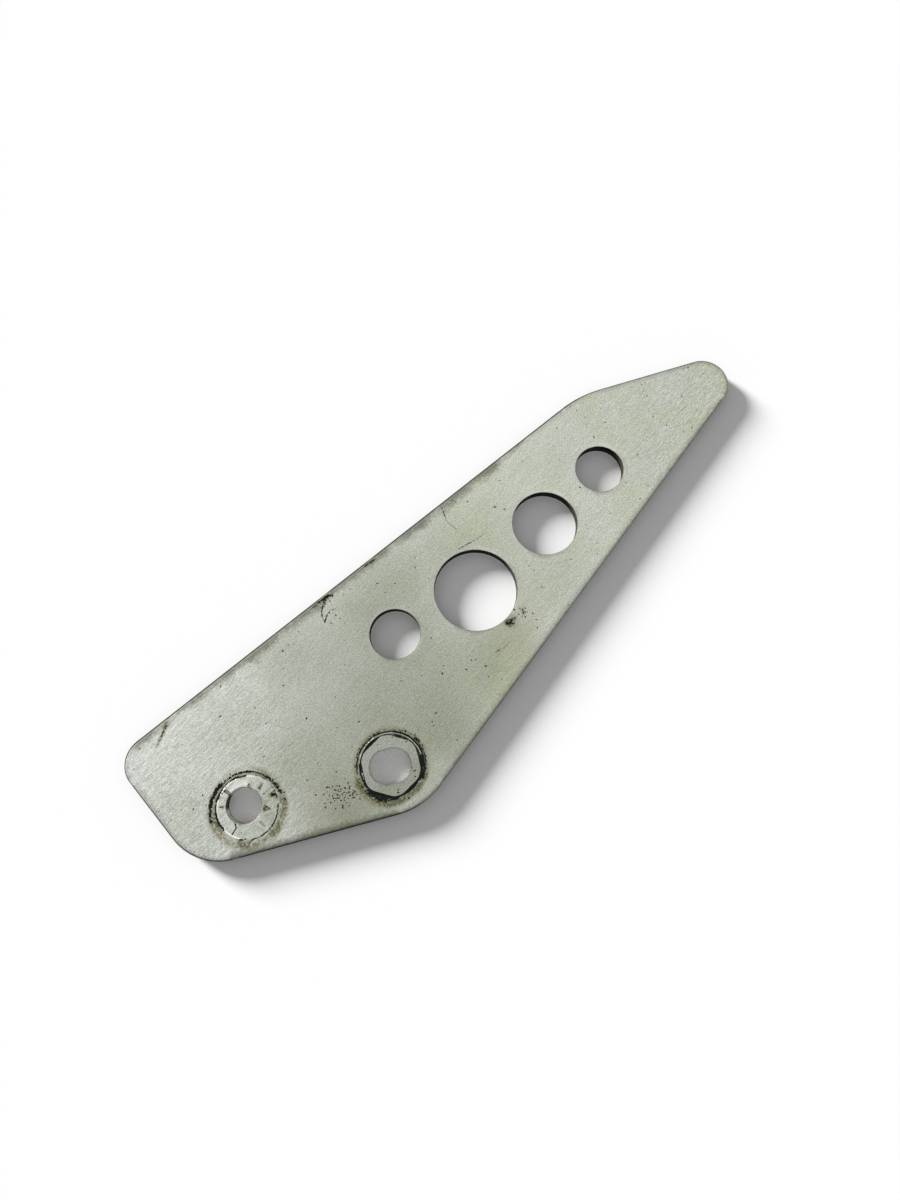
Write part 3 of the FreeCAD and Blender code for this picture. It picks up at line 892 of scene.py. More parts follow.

# %% [markdown]
# ## Where dirt, bare metal, painted shade and painted highlights sit
#
# What a shader can't know is where the plate was touched. That is painted on the points as
# plain numbers, 0 for none and 1 for full, much as a restorer maps damage: soot for black
# grease, with one thin line of painted shade at the washer, a map of scraped bright metal
# that also holds painted highlights, rust for brown stain, film for the grey-green haze of
# old oxide. The shader later breaks these smooth maps up with grain, so no mark has a soft
# painted edge.

# %% Arcs of dirt, painted shade and painted highlights, judged from the photograph
# begin and end in degrees, radius at each, half width, amount
WASHER_SOOT_AND_SHADE = [
    # the first row is painted shade: a thin dark line where the pressed land steps down, on
    # the side away from the key lamp
    (-88, -18, 7.03, 6.80, 0.24, 1.30),
    (-118, -106, 7.10, 6.90, 0.40, 1.10),
    (-20, 12, 6.75, 6.75, 0.45, 0.42),
    (8, 24, 6.90, 6.85, 0.28, 0.90),
    (6, 16, 6.30, 5.90, 0.50, 0.50),
    (10, 44, 7.95, 7.75, 0.62, 1.15),
    (44, 82, 7.80, 7.80, 0.26, 1.00),
    (44, 66, 7.12, 7.15, 0.22, 0.80),
    (76, 130, 7.85, 7.85, 0.36, 1.25),
    (84, 102, 6.92, 7.02, 0.30, 1.20),
    (100, 150, 7.12, 7.15, 0.22, 1.50),
    (130, 161, 8.10, 8.30, 0.60, 1.90),
    (166, 187, 8.35, 8.55, 0.50, 1.30),
    (86, 108, 6.95, 6.97, 0.18, 1.30),
    (127, 149, 6.90, 6.92, 0.16, 1.00),
    (128, 152, 6.50, 6.68, 0.20, 0.75),
    (150, 190, 7.20, 7.20, 0.24, 1.40),
    (178, 206, 7.05, 7.00, 0.42, 0.80),
    (196, 207, 7.05, 6.98, 0.34, 1.10),
]
WASHER_SMEAR = [
    (-112, -50, 7.95, 8.10, 1.35, 1.60),
    (-54, -4, 8.10, 8.00, 1.30, 1.95),
    (-15, 60, 8.25, 8.15, 1.00, 0.95),
    (60, 190, 8.55, 8.60, 0.85, 0.55),
    (180, 258, 8.20, 8.00, 1.50, 0.85),
    (180, 212, 8.20, 7.80, 1.20, 0.25),
    (12, 190, 7.45, 7.50, 0.50, 1.25),
]
WASHER_BARE_AND_HIGHLIGHT = [
    # all but the last row face the key lamp: bare metal and a painted highlight on the edge of
    # the pressed land; the last row is a painted white glint
    (44, 82, 6.72, 6.80, 0.15, 0.35),
    (106, 127, 6.85, 6.92, 0.16, 0.55),
    (149, 190, 6.80, 6.82, 0.18, 0.60),
    (50, 150, 7.45, 7.50, 0.12, 0.35),
    (211, 246, 6.88, 6.86, 0.20, 2.50),
]
HEAD_SOOT = [
    (-97, -36, 7.05, 7.05, 0.26, 1.20),
    (-144, -114, 7.55, 7.50, 0.60, 1.25),
    (-120, -94, 7.50, 7.35, 0.42, 1.30),
    (-162, -140, 7.15, 7.30, 0.36, 0.90),
    (-34, 0, 7.40, 7.55, 0.78, 1.95),
    (-6, 62, 7.66, 7.62, 0.30, 2.50),
    (60, 100, 7.64, 7.64, 0.20, 1.60),
    (100, 168, 7.72, 7.74, 0.22, 1.70),
    (168, 202, 7.22, 7.15, 0.20, 1.00),
    (-166, -112, 8.10, 8.20, 0.55, 0.62),
    (22, 44, 8.50, 8.30, 0.22, 1.00),
    (28, 33, 8.15, 8.15, 0.45, 0.80),
    (60, 168, 8.15, 8.15, 0.50, 0.62),
    (-3, 30, 8.05, 8.00, 0.30, 0.75),
]
HEAD_SMEAR = [
    (-96, -28, 7.70, 7.70, 1.25, 2.90),
    (-120, -88, 8.35, 8.40, 0.95, 1.20),
    (-32, 30, 8.20, 8.30, 0.80, 1.10),
    (30, 200, 8.15, 8.15, 0.85, 1.10),
    (-168, -106, 8.25, 8.45, 1.20, 1.80),
]
HEAD_BARE_AND_GLINT = [
    (-2, 166, 7.32, 7.32, 0.10, 0.20),
    # a short painted white glint on the left of the ring
    (178, 192, 6.72, 6.80, 0.28, 1.50),
]


def paint_arcs(places, centre, table, crumble, smoothest=0.35):
    """Sum of the arcs of a table, each broken up by some noise."""
    radius, angle = polar(places, centre)
    total = np.zeros(len(places))
    for begin, end, radius_begin, radius_end, half_width, amount in table:
        turned = (angle - begin + 60) % 360 - 60
        share = np.clip(turned / (end - begin), 0, 1)
        middle = radius_begin + (radius_end - radius_begin) * share
        fade = 5 + 0.12 * (end - begin)
        band = hill(radius, middle, half_width * 1.25) * fan(angle, begin, end, fade)
        total += amount * band * (smoothest + (1 - smoothest) * crumble)
    return total


print("arcs of soot:", len(WASHER_SOOT_AND_SHADE), "and", len(HEAD_SOOT))

# %% [markdown]
# Round the round bolt hole lie four things over each other. Soot is what the washer's edge
# scraped together, smear is grease that was wiped outwards, bare metal shows where its
# teeth slid, and brown stain has run from the steel. The soot also holds a thin line of
# painted shade on the side of the pressed land away from the key lamp, and the bare metal
# holds painted highlights on the side facing it and a white painted glint at its lower left.

# %% Paint the washer's seat
def washer_marks(places):
    """Soot with a line of painted shade, smear, bare metal with painted highlights, and brown
    stain round the round bolt hole.
    """
    radius, angle = polar(places, WASHER_CENTRE)
    crumble = smooth(ripple(places, 0.45, 21.0) * 1.9 - 0.35)
    patchy = ripple(places, 1.5, 22.0)
    soot = paint_arcs(places, WASHER_CENTRE, WASHER_SOOT_AND_SHADE, crumble)
    crack = distance_to_path(places, WASHER_CRACK)[0]
    soot += 1.2 * smooth(1 - crack / 0.26)
    smear = paint_arcs(places, WASHER_CENTRE, WASHER_SMEAR, 0.5 * patchy + 0.5 * crumble, 0.1)
    tooth = tooth_marks(places)[0]
    smear += 1.4 * tooth
    soot += 0.78 * smooth(tooth * 1.7 - 0.55) * (0.25 + 0.75 * crumble)
    bare_and_highlight = 0.12 * (1 - smooth((radius - 6.6) / 0.3)) * smooth(patchy * 2.2 - 0.5)
    bare_and_highlight += 0.30 * hill(radius, 5.3, 1.1) * fan(angle, 82, 124, 8) * smooth(patchy * 2.0)
    broken = smooth(ripple(places, 0.8, 23.0) * 2.6 - 0.8)
    bare_and_highlight += paint_arcs(places, WASHER_CENTRE, WASHER_BARE_AND_HIGHLIGHT, broken)
    rust = 0.85 * hill(radius, 8.2, 1.5) * fan(angle, 178, 250, 18) * crumble
    rust += 0.60 * hill(radius, 8.2, 1.2) * fan(angle, 176, 212, 10) * crumble
    rust += 0.45 * hill(radius, 7.5, 0.5) * fan(angle, 30, 200, 25) + 0.5 * tooth
    clean = 1 - np.clip(bare_and_highlight * 1.2 - 0.2, 0, 1)
    return soot, smear * clean, bare_and_highlight, rust * clean


# %% [markdown]
# Round the slot the same four things lie on the outside of the hexagon's land. The gap
# between its flats and the scraped ring filled with black grease, heaviest along its lower
# side. The bare metal holds one short white painted glint on the left of the ring.

# %% Paint the hexagon's seat
def head_marks(places):
    """Soot, smear, bare metal with a painted glint, and brown stain round the slot."""
    radius, angle = polar(places, HEAD_CENTRE)
    crumble = smooth(ripple(places, 0.4, 31.0) * 1.9 - 0.35)
    patchy = ripple(places, 1.4, 32.0)
    gap = smooth(outside_hexagon(places) / 0.10 + 0.6) * (1 - smooth((radius - 7.10) / 0.14))
    weight = 0.75 + 0.6 * fan(angle, 102, 166, 6) + 0.6 * fan(angle, -170, -36, 8)
    soot = 1.0 * gap * weight * (0.8 + 0.4 * patchy)
    soot += paint_arcs(places, HEAD_CENTRE, HEAD_SOOT, crumble)
    smear = paint_arcs(places, HEAD_CENTRE, HEAD_SMEAR, 0.5 * patchy + 0.5 * crumble, 0.1)
    bare_and_highlight = paint_arcs(places, HEAD_CENTRE, HEAD_BARE_AND_GLINT, smooth(patchy * 2.4 - 0.4))
    rust = 1.3 * hill(radius, 8.6, 1.3) * fan(angle, 198, 250, 12) * smooth(crumble * 1.6)
    rust += 0.5 * hill(radius, 7.5, 0.5) * fan(angle, -5, 200, 25)
    return soot, smear, bare_and_highlight, rust


# %% [markdown]
# Away from the seats there are scratches filled with black, one smudge on the top edge and
# two heaps of grime. Under it all lies the haze, a film of oxide, thick where the boot
# rubbed least. It has no clear edge, so it is a sum of wide soft spots.

# %% Where the haze lies
# middle, reach, amount
FILM_CENTRES = [
    ((16.0, 8.0), 20.0, 0.62),
    ((32.0, 22.0), 24.0, 0.45),
    ((50.0, 46.0), 13.0, 0.35),
    ((4.0, -5.0), 14.0, 0.22),
    ((48.0, 18.0), 12.0, 0.20),
    ((-28.0, -6.0), 10.0, 0.25),
    ((69.0, 35.0), 8.0, 0.28),
    ((-6.0, 10.0), 12.0, 0.18),
    ((26.0, 38.0), 13.0, 0.18),
    ((34.0, 4.0), 10.0, 0.22),
    ((14.0, 34.0), 12.0, 0.22),
    ((4.0, -9.0), 10.0, 0.48),
    ((0.0, 31.0), 9.0, 0.52),
    ((-17.0, 21.0), 9.0, 0.32),
    ((26.0, 42.0), 10.0, 0.22),
    ((40.0, 49.0), 9.0, 0.22),
    ((49.0, 19.0), 8.0, 0.24),
    ((-4.0, 8.0), 7.0, 0.16),
    ((-30.0, 2.0), 7.0, 0.16),
    ((75.0, 62.0), 7.0, 0.16),
    ((57.0, 55.0), 8.0, 0.12),
    ((16.0, 39.0), 4.0, 0.14),
    ((128.0, 79.0), 9.0, 0.24),
    ((96.0, 60.0), 8.0, 0.16),
    ((14.0, 20.0), 7.0, 0.12),
    ((48.0, 14.0), 8.0, 0.30),
    ((34.0, 5.0), 6.0, 0.16),
    ((62.0, 31.0), 8.0, 0.18),
    ((53.0, 46.0), 7.0, 0.10),
    ((-6.0, 5.0), 6.0, 0.14),
]


def haze(places):
    """Grey-green film, thick where the boot rubbed least."""
    thick = sum(amount * halo(places, spot, reach) for spot, reach, amount in FILM_CENTRES)
    return np.clip(thick, 0, 1)


print("haze spots:", len(FILM_CENTRES))

# %% [markdown]
# A stroke is black near its path, weaker towards its end, and crumbled by noise. A pit is a
# small oval, longer along X than across. Grease that was dragged off the edge is drawn
# with wider strokes that grow narrow.

# %% Paint scratches, pits and smudges
BLACK_HEAPS = [(GRIME_HEAP, 1.2, 0.7), (GRIME_DROP, 0.5, 0.6)]


def stroke_marks(places):
    """Black in scratches, pits, the smudge on the top edge and two heaps of grime."""
    soot = np.zeros(len(places))
    crumble = smooth(ripple(places, 0.4, 41.0) * 2.0 - 0.4)
    for path, width, amount in STROKES:
        distance, share = distance_to_path(places, path)
        fading = 1 - 0.6 * share
        soot += amount * smooth(1.25 - distance / width) * fading * (0.35 + 0.85 * crumble)
    for number, (x, y) in enumerate(PITS):
        distance = np.hypot((places[:, 0] - x) * 0.8, (places[:, 1] - y) * 1.3)
        reach = 0.22 + 0.10 * (number % 3)
        soot += 0.75 * smooth(1.2 - distance / reach)
    for heap, reach, amount in BLACK_HEAPS:
        near = smooth(1.3 - distance_to_spot(places, heap) / reach)
        soot += amount * near * smooth(crumble * 3.0 - 1.6)
    return soot


def smeared_strokes(places):
    """Olive grease dragged off the edge and round the smudge."""
    total = np.zeros(len(places))
    streaks = 0.4 + 0.8 * ripple(places, 0.5, 43.0)
    for path, width, amount in SMEARED_STROKES:
        distance, share = distance_to_path(places, path)
        narrowing = width * (1 - 0.6 * share)
        total += amount * (1 - 0.5 * share) * smooth(1.3 - distance / narrowing) * streaks
    heap = distance_to_spot(places, GRIME_HEAP)
    return total + 0.9 * smooth(1.4 - heap / 1.6) * streaks


print("strokes of black:", len(STROKES), "and of grease:", len(SMEARED_STROKES))

# %% [markdown]
# Now the maps are put together on the points of the plate. What the two seats and the
# strokes say is added up, and all of it is kept to the front, since the back was never
# touched by a tool. The film is thicker on the washer's land and rubbed off the hexagon's.

# %% Put the painted maps together
# middle, reach, amount
RUST_STAINS = [((54.0, 22.5), 5.0, 0.22), ((3.0, -8.0), 9.0, 0.18)]
places = np.array(plate_points)[:, :2]
heights = np.array(plate_points)[:, 2]
across = places[:, 0]
on_front = smooth((heights - 2.2) / 0.3)
painted = {}
for name, washer_part, head_part in zip(
        ("soot", "smear", "bare_and_highlight", "rust"), washer_marks(places), head_marks(places)):
    painted[name] = washer_part + head_part
painted["soot"] += stroke_marks(places)
painted["smear"] += smeared_strokes(places)
for spot, reach, amount in RUST_STAINS:
    painted["rust"] += amount * halo(places, spot, reach)
painted["pressed"] = 1 - smooth(outside_hexagon(places) / 0.25)
washer_radius, washer_angle = polar(places, WASHER_CENTRE)
head_radius, head_angle = polar(places, HEAD_CENTRE)
on_washer = 1 - smooth((washer_radius - 6.5) / 0.3)
painted["film"] = haze(places) + on_washer * (0.16 + 0.34 * fan(washer_angle, -115, 10, 30))
painted["film"] -= painted["pressed"] * (0.30 - 0.30 * fan(head_angle, -120, -20, 35))
painted["sanding"] = 0.35 + 0.65 * smooth((8.0 - across) / 22.0)
painted["sanding"] += 0.35 * smooth((across - 85.0) / 25.0)
for name in painted:
    painted[name] = np.clip(painted[name] * on_front, 0, 1.6)
print("sooty points:", int((painted["soot"] > 0.3).sum()))

# %% [markdown]
# Other maps follow from the outline: how far a point is from the edge, and how dark the
# edge is there, partly dirt and partly painted shade on the rounded edge. The long top edge
# carries most and the front edge hardly any. Near a corner the numbers of two sides are
# blended. The tone of the metal changes slowly along the plate as well, with a cool spot
# and two pitted ones.

# %% Maps that follow from the outline
# one number for each side: rear, base, front, short top, long top
# darkness of each rounded edge, partly dirt and partly painted shade
SIDE_DIRT_AND_SHADE = [0.88, 0.88, 0.20, 0.88, 0.97]
SIDE_LINE = [0.12, 0.02, 0.0, 0.20, 0.24]
BASE_SIDE = 1
TOP_SIDE = 4
WIDEST_GAP = 9.0
SIDE_BLEND = 1.5
COOL_SPOT = (6.0, 22.0)
PITTED_SPOTS = [((92.0, 73.0), 13.0), ((118.0, 76.0), 14.0)]
edge_gap = np.clip(depth_inside(places), 0, WIDEST_GAP)
side_gaps = [distance_to_path(places, list(side))[0] for side in outline_parts()[0]]
nearest_side = np.min(side_gaps, axis=0)
side_weights = [np.exp(-(gap - nearest_side) / SIDE_BLEND) for gap in side_gaps]


def by_side(amounts):
    """Amount of the nearest side, blended where two sides meet."""
    weighed = sum(weight * amount for weight, amount in zip(side_weights, amounts))
    return weighed / sum(side_weights)


painted["edge_gap"] = edge_gap
painted["base_gap"] = np.clip(side_gaps[BASE_SIDE], 0, WIDEST_GAP)
painted["top_gap"] = np.clip(side_gaps[TOP_SIDE], 0, WIDEST_GAP)
painted["top_gap"] += 2.4 * smooth((across - 62.0) / 18.0)
painted["edge_dirt_and_shade"] = by_side(SIDE_DIRT_AND_SHADE)
painted["corner_gap"] = edge_gap - by_side(SIDE_LINE)
painted["underside"] = (heights < THICKNESS / 2).astype(float)
painted["olive"] = 0.04 + 0.42 * smooth((across - 28.0) / 24.0)
painted["olive"] += 0.25 * smooth((across - 112.0) / 14.0)
painted["cool"] = 0.10 + 0.28 * halo(places, COOL_SPOT, 15.0)
painted["pitted"] = 0.5 + sum(1.3 * halo(places, spot, reach) for spot, reach in PITTED_SPOTS)
print("maps so far:", len(painted))

# %% [markdown]
# Each rim has a dark side and a bright one. The rim that faces the key lamp, and the hole
# wall under it, are painted dark: painted shade where the lamp lights them. The rim turned
# away from the lamp is painted bright, a painted highlight. In the two bolt holes the wall is
# darkened in a few more places: a brown patch of grease at the upper left of the round hole,
# and low down on the lower left of both.

# %% Painted shade and highlight on the rims, and the walls of the two bolt holes
# centre, reach, directions, fade in degrees, highest place, amount
BORE_DARK_PATCHES = [
    (WASHER_CENTRE, 5.2, 136, 168, 7, math.inf, 0.95),
    (WASHER_CENTRE, 5.2, 178, 212, 5, 0.7, 0.80),
    (HEAD_CENTRE, 5.4, -152, -97, 5, 0.7, 0.80),
]
# painted shade on each rim and hole wall that faces the key lamp, painted highlight on each
# rim turned away from it
painted["rim_painted_shade"] = np.zeros(len(places))
for left, right, radius in openings:
    rim_gap = np.abs(distance_to_opening(places, (left, right, radius)))
    outwards = polar(places, (left + right) / 2)[1]
    facing = -np.cos(np.radians(outwards) - KEY_HEADING)
    on_rim = smooth((0.27 - rim_gap) / 0.12)
    painted["rim_painted_shade"] += on_rim * smooth(facing * 2.0)
    painted["bare_and_highlight"] += 0.30 * on_rim * smooth(0.3 - facing * 2.0) * on_front
# the walls take their rims' painted shade, plus a few dark patches of their own
painted["wall_grease_and_shade"] = 0.80 * painted["rim_painted_shade"]
for centre, reach, begin, end, fade, highest, amount in BORE_DARK_PATCHES:
    bore_radius, bore_angle = polar(places, centre)
    in_bore = (bore_radius < reach) & (heights < highest)
    painted["wall_grease_and_shade"] += amount * in_bore * fan(bore_angle, begin, end, fade)
print("maps:", ", ".join(painted))

# %% [markdown]
# Points, faces and maps now become one mesh. Each map is stored as a number on every
# point, where the shader can read it by name.

# %% Make the mesh
def make_mesh(name, points, faces):
    """Mesh in metres from points in millimetres."""
    mesh = bpy.data.meshes.new(name)
    mesh.from_pydata([tuple(v * MM for v in point) for point in points], [], faces)
    mesh.update()
    return mesh


def add_map(mesh, name, values):
    """Store one number on every point."""
    attribute = mesh.attributes.new(name, "FLOAT", "POINT")
    attribute.data.foreach_set("value", np.asarray(values, dtype=np.float32))


plate_mesh = make_mesh("worn_plate", plate_points, plate_faces)
for name, values in painted.items():
    add_map(plate_mesh, name, values)
plate_mesh.polygons.foreach_set("material_index", plate_kinds)
plate_mesh.shade_smooth()
plate = bpy.data.objects.new("worn_plate", plate_mesh)
scene.collection.objects.link(plate)

# %% [markdown]
# Before the finish comes a check, as a maker would lay the part on its drawing. The skin
# has to be closed, and no point may lie far from the construction model.

# %% Check that it is closed and lies on the construction model
check = bmesh.new()
check.from_mesh(plate_mesh)
open_edges = sum(1 for edge in check.edges if not edge.is_manifold)
loose = sum(1 for vert in check.verts if not vert.link_faces)
volume = check.calc_volume(signed=True) / MM ** 3
check.free()
skin = BVHTree.FromPolygons(
    [v.co.copy() for v in node.data.vertices], [tuple(p.vertices) for p in node.data.polygons])
gaps = [skin.find_nearest(vertex.co)[3] / MM for vertex in plate_mesh.vertices]
print("open edges", open_edges, "loose points", loose, "volume", round(volume), "mm3")
print("furthest from the construction model:", round(max(gaps), 3), "mm")
print("triangles:", sum(len(face) - 2 for face in plate_faces))

# %% [markdown]
# ## Effects that more than one finish uses
#
# Sanding lines, mottling, specks and ragged edges come back in every finish of the plate,
# only stronger or weaker. Each is a small node group with named inputs, built once. A group
# puts out masks and heights only, and each material keeps its own shader. All patterns read
# Object coordinates in millimetres, so they stay on the metal from every side.

# %% Helpers for node groups
FLOAT = "NodeSocketFloat"
VECTOR = "NodeSocketVector"


def make_group(name, numbers, outputs):
    """Start a shader group. Returns its tree, what it is given and what it has to give."""
    tree = bpy.data.node_groups.new(name, "ShaderNodeTree")
    tree.interface.new_socket("Vector", in_out="INPUT", socket_type=VECTOR)
    for label, value in numbers.items():
        socket = tree.interface.new_socket(label, in_out="INPUT", socket_type=FLOAT)
        socket.default_value = value
    for label in outputs:
        tree.interface.new_socket(label, in_out="OUTPUT", socket_type=FLOAT)
    given = tree.nodes.new("NodeGroupInput").outputs
    wanted = tree.nodes.new("NodeGroupOutput").inputs
    return tree, given, wanted


def use_group(tree, group, **values):
    """Place a group and set or link its inputs."""
    return new_node(tree, "ShaderNodeGroup", values, node_tree=group).outputs


# %% [markdown]
# A finish is mostly arithmetic on masks. Each step below is one node, with a name that says
# what it does, so a long sum can be read from left to right.

# %% Arithmetic in nodes
def calculate(tree, operation, first, second, clamp=False):
    """One step of arithmetic."""
    item = new_node(
        tree, "ShaderNodeMath", {0: first, 1: second}, operation=operation, use_clamp=clamp)
    return item.outputs[0]


def plus(tree, first, second, clamp=False):
    """Sum of two numbers."""
    return calculate(tree, "ADD", first, second, clamp)


def minus(tree, first, second):
    """First number less the second."""
    return calculate(tree, "SUBTRACT", first, second)


def times(tree, first, second, clamp=False):
    """Product of two numbers."""
    return calculate(tree, "MULTIPLY", first, second, clamp)


def over(tree, first, second):
    """First number divided by the second."""
    return calculate(tree, "DIVIDE", first, second)


def larger(tree, first, second):
    """The larger of two numbers."""
    return calculate(tree, "MAXIMUM", first, second)


def spread(tree, value, low, high, to_low=0.0, to_high=1.0):
    """Soft step of a value between two limits."""
    item = new_node(tree, "ShaderNodeMapRange", {
        "Value": value, "From Min": low, "From Max": high, "To Min": to_low,
        "To Max": to_high}, interpolation_type="SMOOTHSTEP")
    return item.outputs["Result"]


def stretch(tree, vector, factors):
    """Multiply a vector part by part."""
    item = new_node(
        tree, "ShaderNodeVectorMath", {0: vector, 1: factors}, operation="MULTIPLY")
    return item.outputs[0]


def scaled(tree, vector, amount):
    """Multiply a vector or a colour by a number."""
    item = new_node(
        tree, "ShaderNodeVectorMath", {0: vector, "Scale": amount}, operation="SCALE")
    return item.outputs[0]


def cloud(tree, vector, scale, detail=2.0, roughness=0.5, distortion=0.0):
    """Noise from 0 to 1."""
    item = new_node(tree, "ShaderNodeTexNoise", {
        "Vector": vector, "Scale": scale, "Detail": detail, "Roughness": roughness,
        "Distortion": distortion})
    return item.outputs["Fac"]


# %% [markdown]
# Sanding paper leaves lines that all run one way, each a little longer or deeper than the
# next. A stretched noise gives just that: it is turned to the direction of the strokes,
# squeezed across them and drawn out along them. A picture of scratches would repeat, and
# its lines would be the same on every plate.

# %% Sanding lines
def make_sanding_group():
    """Lines that run one way, each long, narrow and broken."""
    tree, given, wanted = make_group(
        "sanding_lines", {"Angle": 0.5, "Width": 0.2, "Length": 5.0}, ["Lines", "Height"])
    turned = new_node(tree, "ShaderNodeVectorRotate", {
        "Vector": given["Vector"], "Angle": times(tree, given["Angle"], -1.0)},
        rotation_type="Z_AXIS")
    across = over(tree, 1.0, given["Width"])
    factors = new_node(tree, "ShaderNodeCombineXYZ", {
        "X": over(tree, 1.0, given["Length"]), "Y": across, "Z": across})
    fine = stretch(tree, turned.outputs[0], factors.outputs[0])
    coarse = stretch(tree, fine, (0.45, 0.45, 0.45))
    fine_lines = cloud(tree, fine, 1.0, 2.0, 0.6, 0.3)
    coarse_lines = cloud(tree, coarse, 1.0, 1.0, 0.5, 0.3)
    both = plus(tree, times(tree, fine_lines, 0.7), times(tree, coarse_lines, 0.3))
    feed(tree, wanted["Lines"], spread(tree, both, 0.36, 0.64))
    feed(tree, wanted["Height"], both)
    return tree


sanding_lines = make_sanding_group()
print("group:", sanding_lines.name)

# %% [markdown]
# Old aluminium is never one grey. Oxide lies in clouds some millimetres wide, and under them
# is a fine grain. Two noises of different size give both, and a soft step draws their
# greys apart.

# %% Mottling
def make_mottle_group():
    """Cloudy patches at two sizes."""
    tree, given, wanted = make_group(
        "mottle", {"Patch": 8.0, "Grit": 0.5}, ["Patches", "Grain"])
    patches = cloud(tree, given["Vector"], over(tree, 1.0, given["Patch"]), 4.0, 0.55, 0.6)
    grain = cloud(tree, given["Vector"], over(tree, 1.0, given["Grit"]), 2.0, 0.7)
    feed(tree, wanted["Patches"], spread(tree, patches, 0.34, 0.66))
    feed(tree, wanted["Grain"], spread(tree, grain, 0.3, 0.7))
    return tree


mottle = make_mottle_group()
print("group:", mottle.name)

# %% [markdown]
# Dots of grease are small, round and rare. A cell pattern has one point in each cell, and
# its distance makes a dot. Each cell has random numbers of its own, which set the size of
# its dot and leave most dots out.

# %% Specks
def make_speck_group():
    """Small round spots, each of its own size, and most of them missing."""
    tree, given, wanted = make_group(
        "specks", {"Spacing": 2.0, "Size": 0.2, "Amount": 0.3}, ["Specks"])
    cells = new_node(tree, "ShaderNodeTexVoronoi", {
        "Vector": given["Vector"], "Scale": over(tree, 1.0, given["Spacing"])},
        voronoi_dimensions="2D")
    own = new_node(tree, "ShaderNodeSeparateColor", {0: cells.outputs["Color"]}).outputs
    distance = times(tree, cells.outputs["Distance"], given["Spacing"])
    own_size = times(tree, given["Size"], spread(tree, own[0], 0.0, 1.0, 0.35, 1.0))
    spot = spread(tree, over(tree, distance, own_size), 0.5, 1.0, 1.0, 0.0)
    kept = calculate(tree, "LESS_THAN", own[1], given["Amount"])
    feed(tree, wanted["Specks"], times(tree, spot, kept))
    return tree


specks = make_speck_group()
print("group:", specks.name)

# %% [markdown]
# Dirt along an edge is thick at the edge and frays out over the face. So it starts from
# the distance to the edge, gets noise added, and is cut off softly. Slow noise makes the
# bays of its border and fast noise the crumbs.

# %% Ragged edges
def make_ragged_group():
    """Dirt that is thick at an edge and frays out over some width."""
    tree, given, wanted = make_group(
        "ragged_edge", {"Gap": 1.0, "Width": 1.5, "Fray": 1.0}, ["Dirt"])
    waves = cloud(tree, given["Vector"], 0.16, 3.0, 0.6)
    crumbs = cloud(tree, given["Vector"], 1.9, 3.0, 0.7)
    share = over(tree, given["Gap"], given["Width"])
    uneven = times(tree, times(tree, given["Fray"], minus(tree, waves, 0.5)), 3.0)
    rough = times(tree, minus(tree, crumbs, 0.5), 0.9)
    frayed = plus(tree, share, plus(tree, uneven, rough))
    feed(tree, wanted["Dirt"], spread(tree, frayed, 0.15, 1.0, 1.0, 0.0))
    return tree


ragged_edge = make_ragged_group()
print("group:", ragged_edge.name)

# %% [markdown]
# The materials share a few short steps too: start a shader, mix two colours, read a painted
# map, and turn a height into a bump. The underside shows the same patterns as the face if
# nothing is done, so its coordinates are shifted by some hundred millimetres.

# %% Helpers for materials
UNDERSIDE_SHIFT = 300.0


def blend(tree, share, first, second):
    """Mix two colours. The node keeps sockets for every kind, so these go by place."""
    first, second = (
        value if isinstance(value, bpy.types.NodeSocket) else (*value, 1.0)
        for value in (first, second))
    item = new_node(tree, "ShaderNodeMix", {0: share, 6: first, 7: second},
                    data_type="RGBA", clamp_factor=True)
    return item.outputs[2]


def read_map(tree, name):
    """Number painted on the points."""
    return new_node(tree, "ShaderNodeAttribute", attribute_name=name).outputs["Fac"]


def start_material(name, roughness, metallic):
    """Material with a shader whose plain values are set on its own sockets."""
    material = bpy.data.materials.new(name)
    material.use_nodes = True
    tree = material.node_tree
    shader = tree.nodes["Principled BSDF"]
    shader.inputs["Roughness"].default_value = roughness
    shader.inputs["Metallic"].default_value = metallic
    return material, tree, shader


def millimetres(tree):
    """Object coordinates in millimetres."""
    coordinates = new_node(tree, "ShaderNodeTexCoord").outputs["Object"]
    return stretch(tree, coordinates, (1 / MM, 1 / MM, 1 / MM))


def plate_millimetres(tree):
    """Millimetres on the plate, with the underside shifted to its own pattern."""
    shift = new_node(tree, "ShaderNodeCombineXYZ", {
        "X": times(tree, read_map(tree, "underside"), UNDERSIDE_SHIFT)})
    item = new_node(tree, "ShaderNodeVectorMath", {
        0: millimetres(tree), 1: shift.outputs[0]}, operation="ADD")
    return item.outputs[0]


def add_bump(tree, shader, height, distance):
    """Bump from a height in millimetres."""
    item = new_node(tree, "ShaderNodeBump", {
        "Strength": 1.0, "Distance": distance * MM, "Height": height})
    tree.links.new(item.outputs["Normal"], shader.inputs["Normal"])


# %% [markdown]
# ## The finish of the face
#
# The face is bare aluminium, sanded by hand in short strokes and then handled for years.
# Clean metal is light and nearly neutral. The haze over it is grey-green, in clouds. Sanding
# lines vary the brightness, the roughness and the height together, as they do on the real
# thing. Dirt is no metal, so wherever it lies the shader becomes dull and dark as well. The
# finish is built in layers, each a short function, from the metal up to the grease.

# %% Colours of the worn face
CLEAN_METAL = (0.524, 0.540, 0.500)
HAZY_METAL = (0.253, 0.272, 0.203)
OLIVE_CLOUD = (0.480, 0.510, 0.345)
COOL_CLOUD = (0.405, 0.425, 0.402)
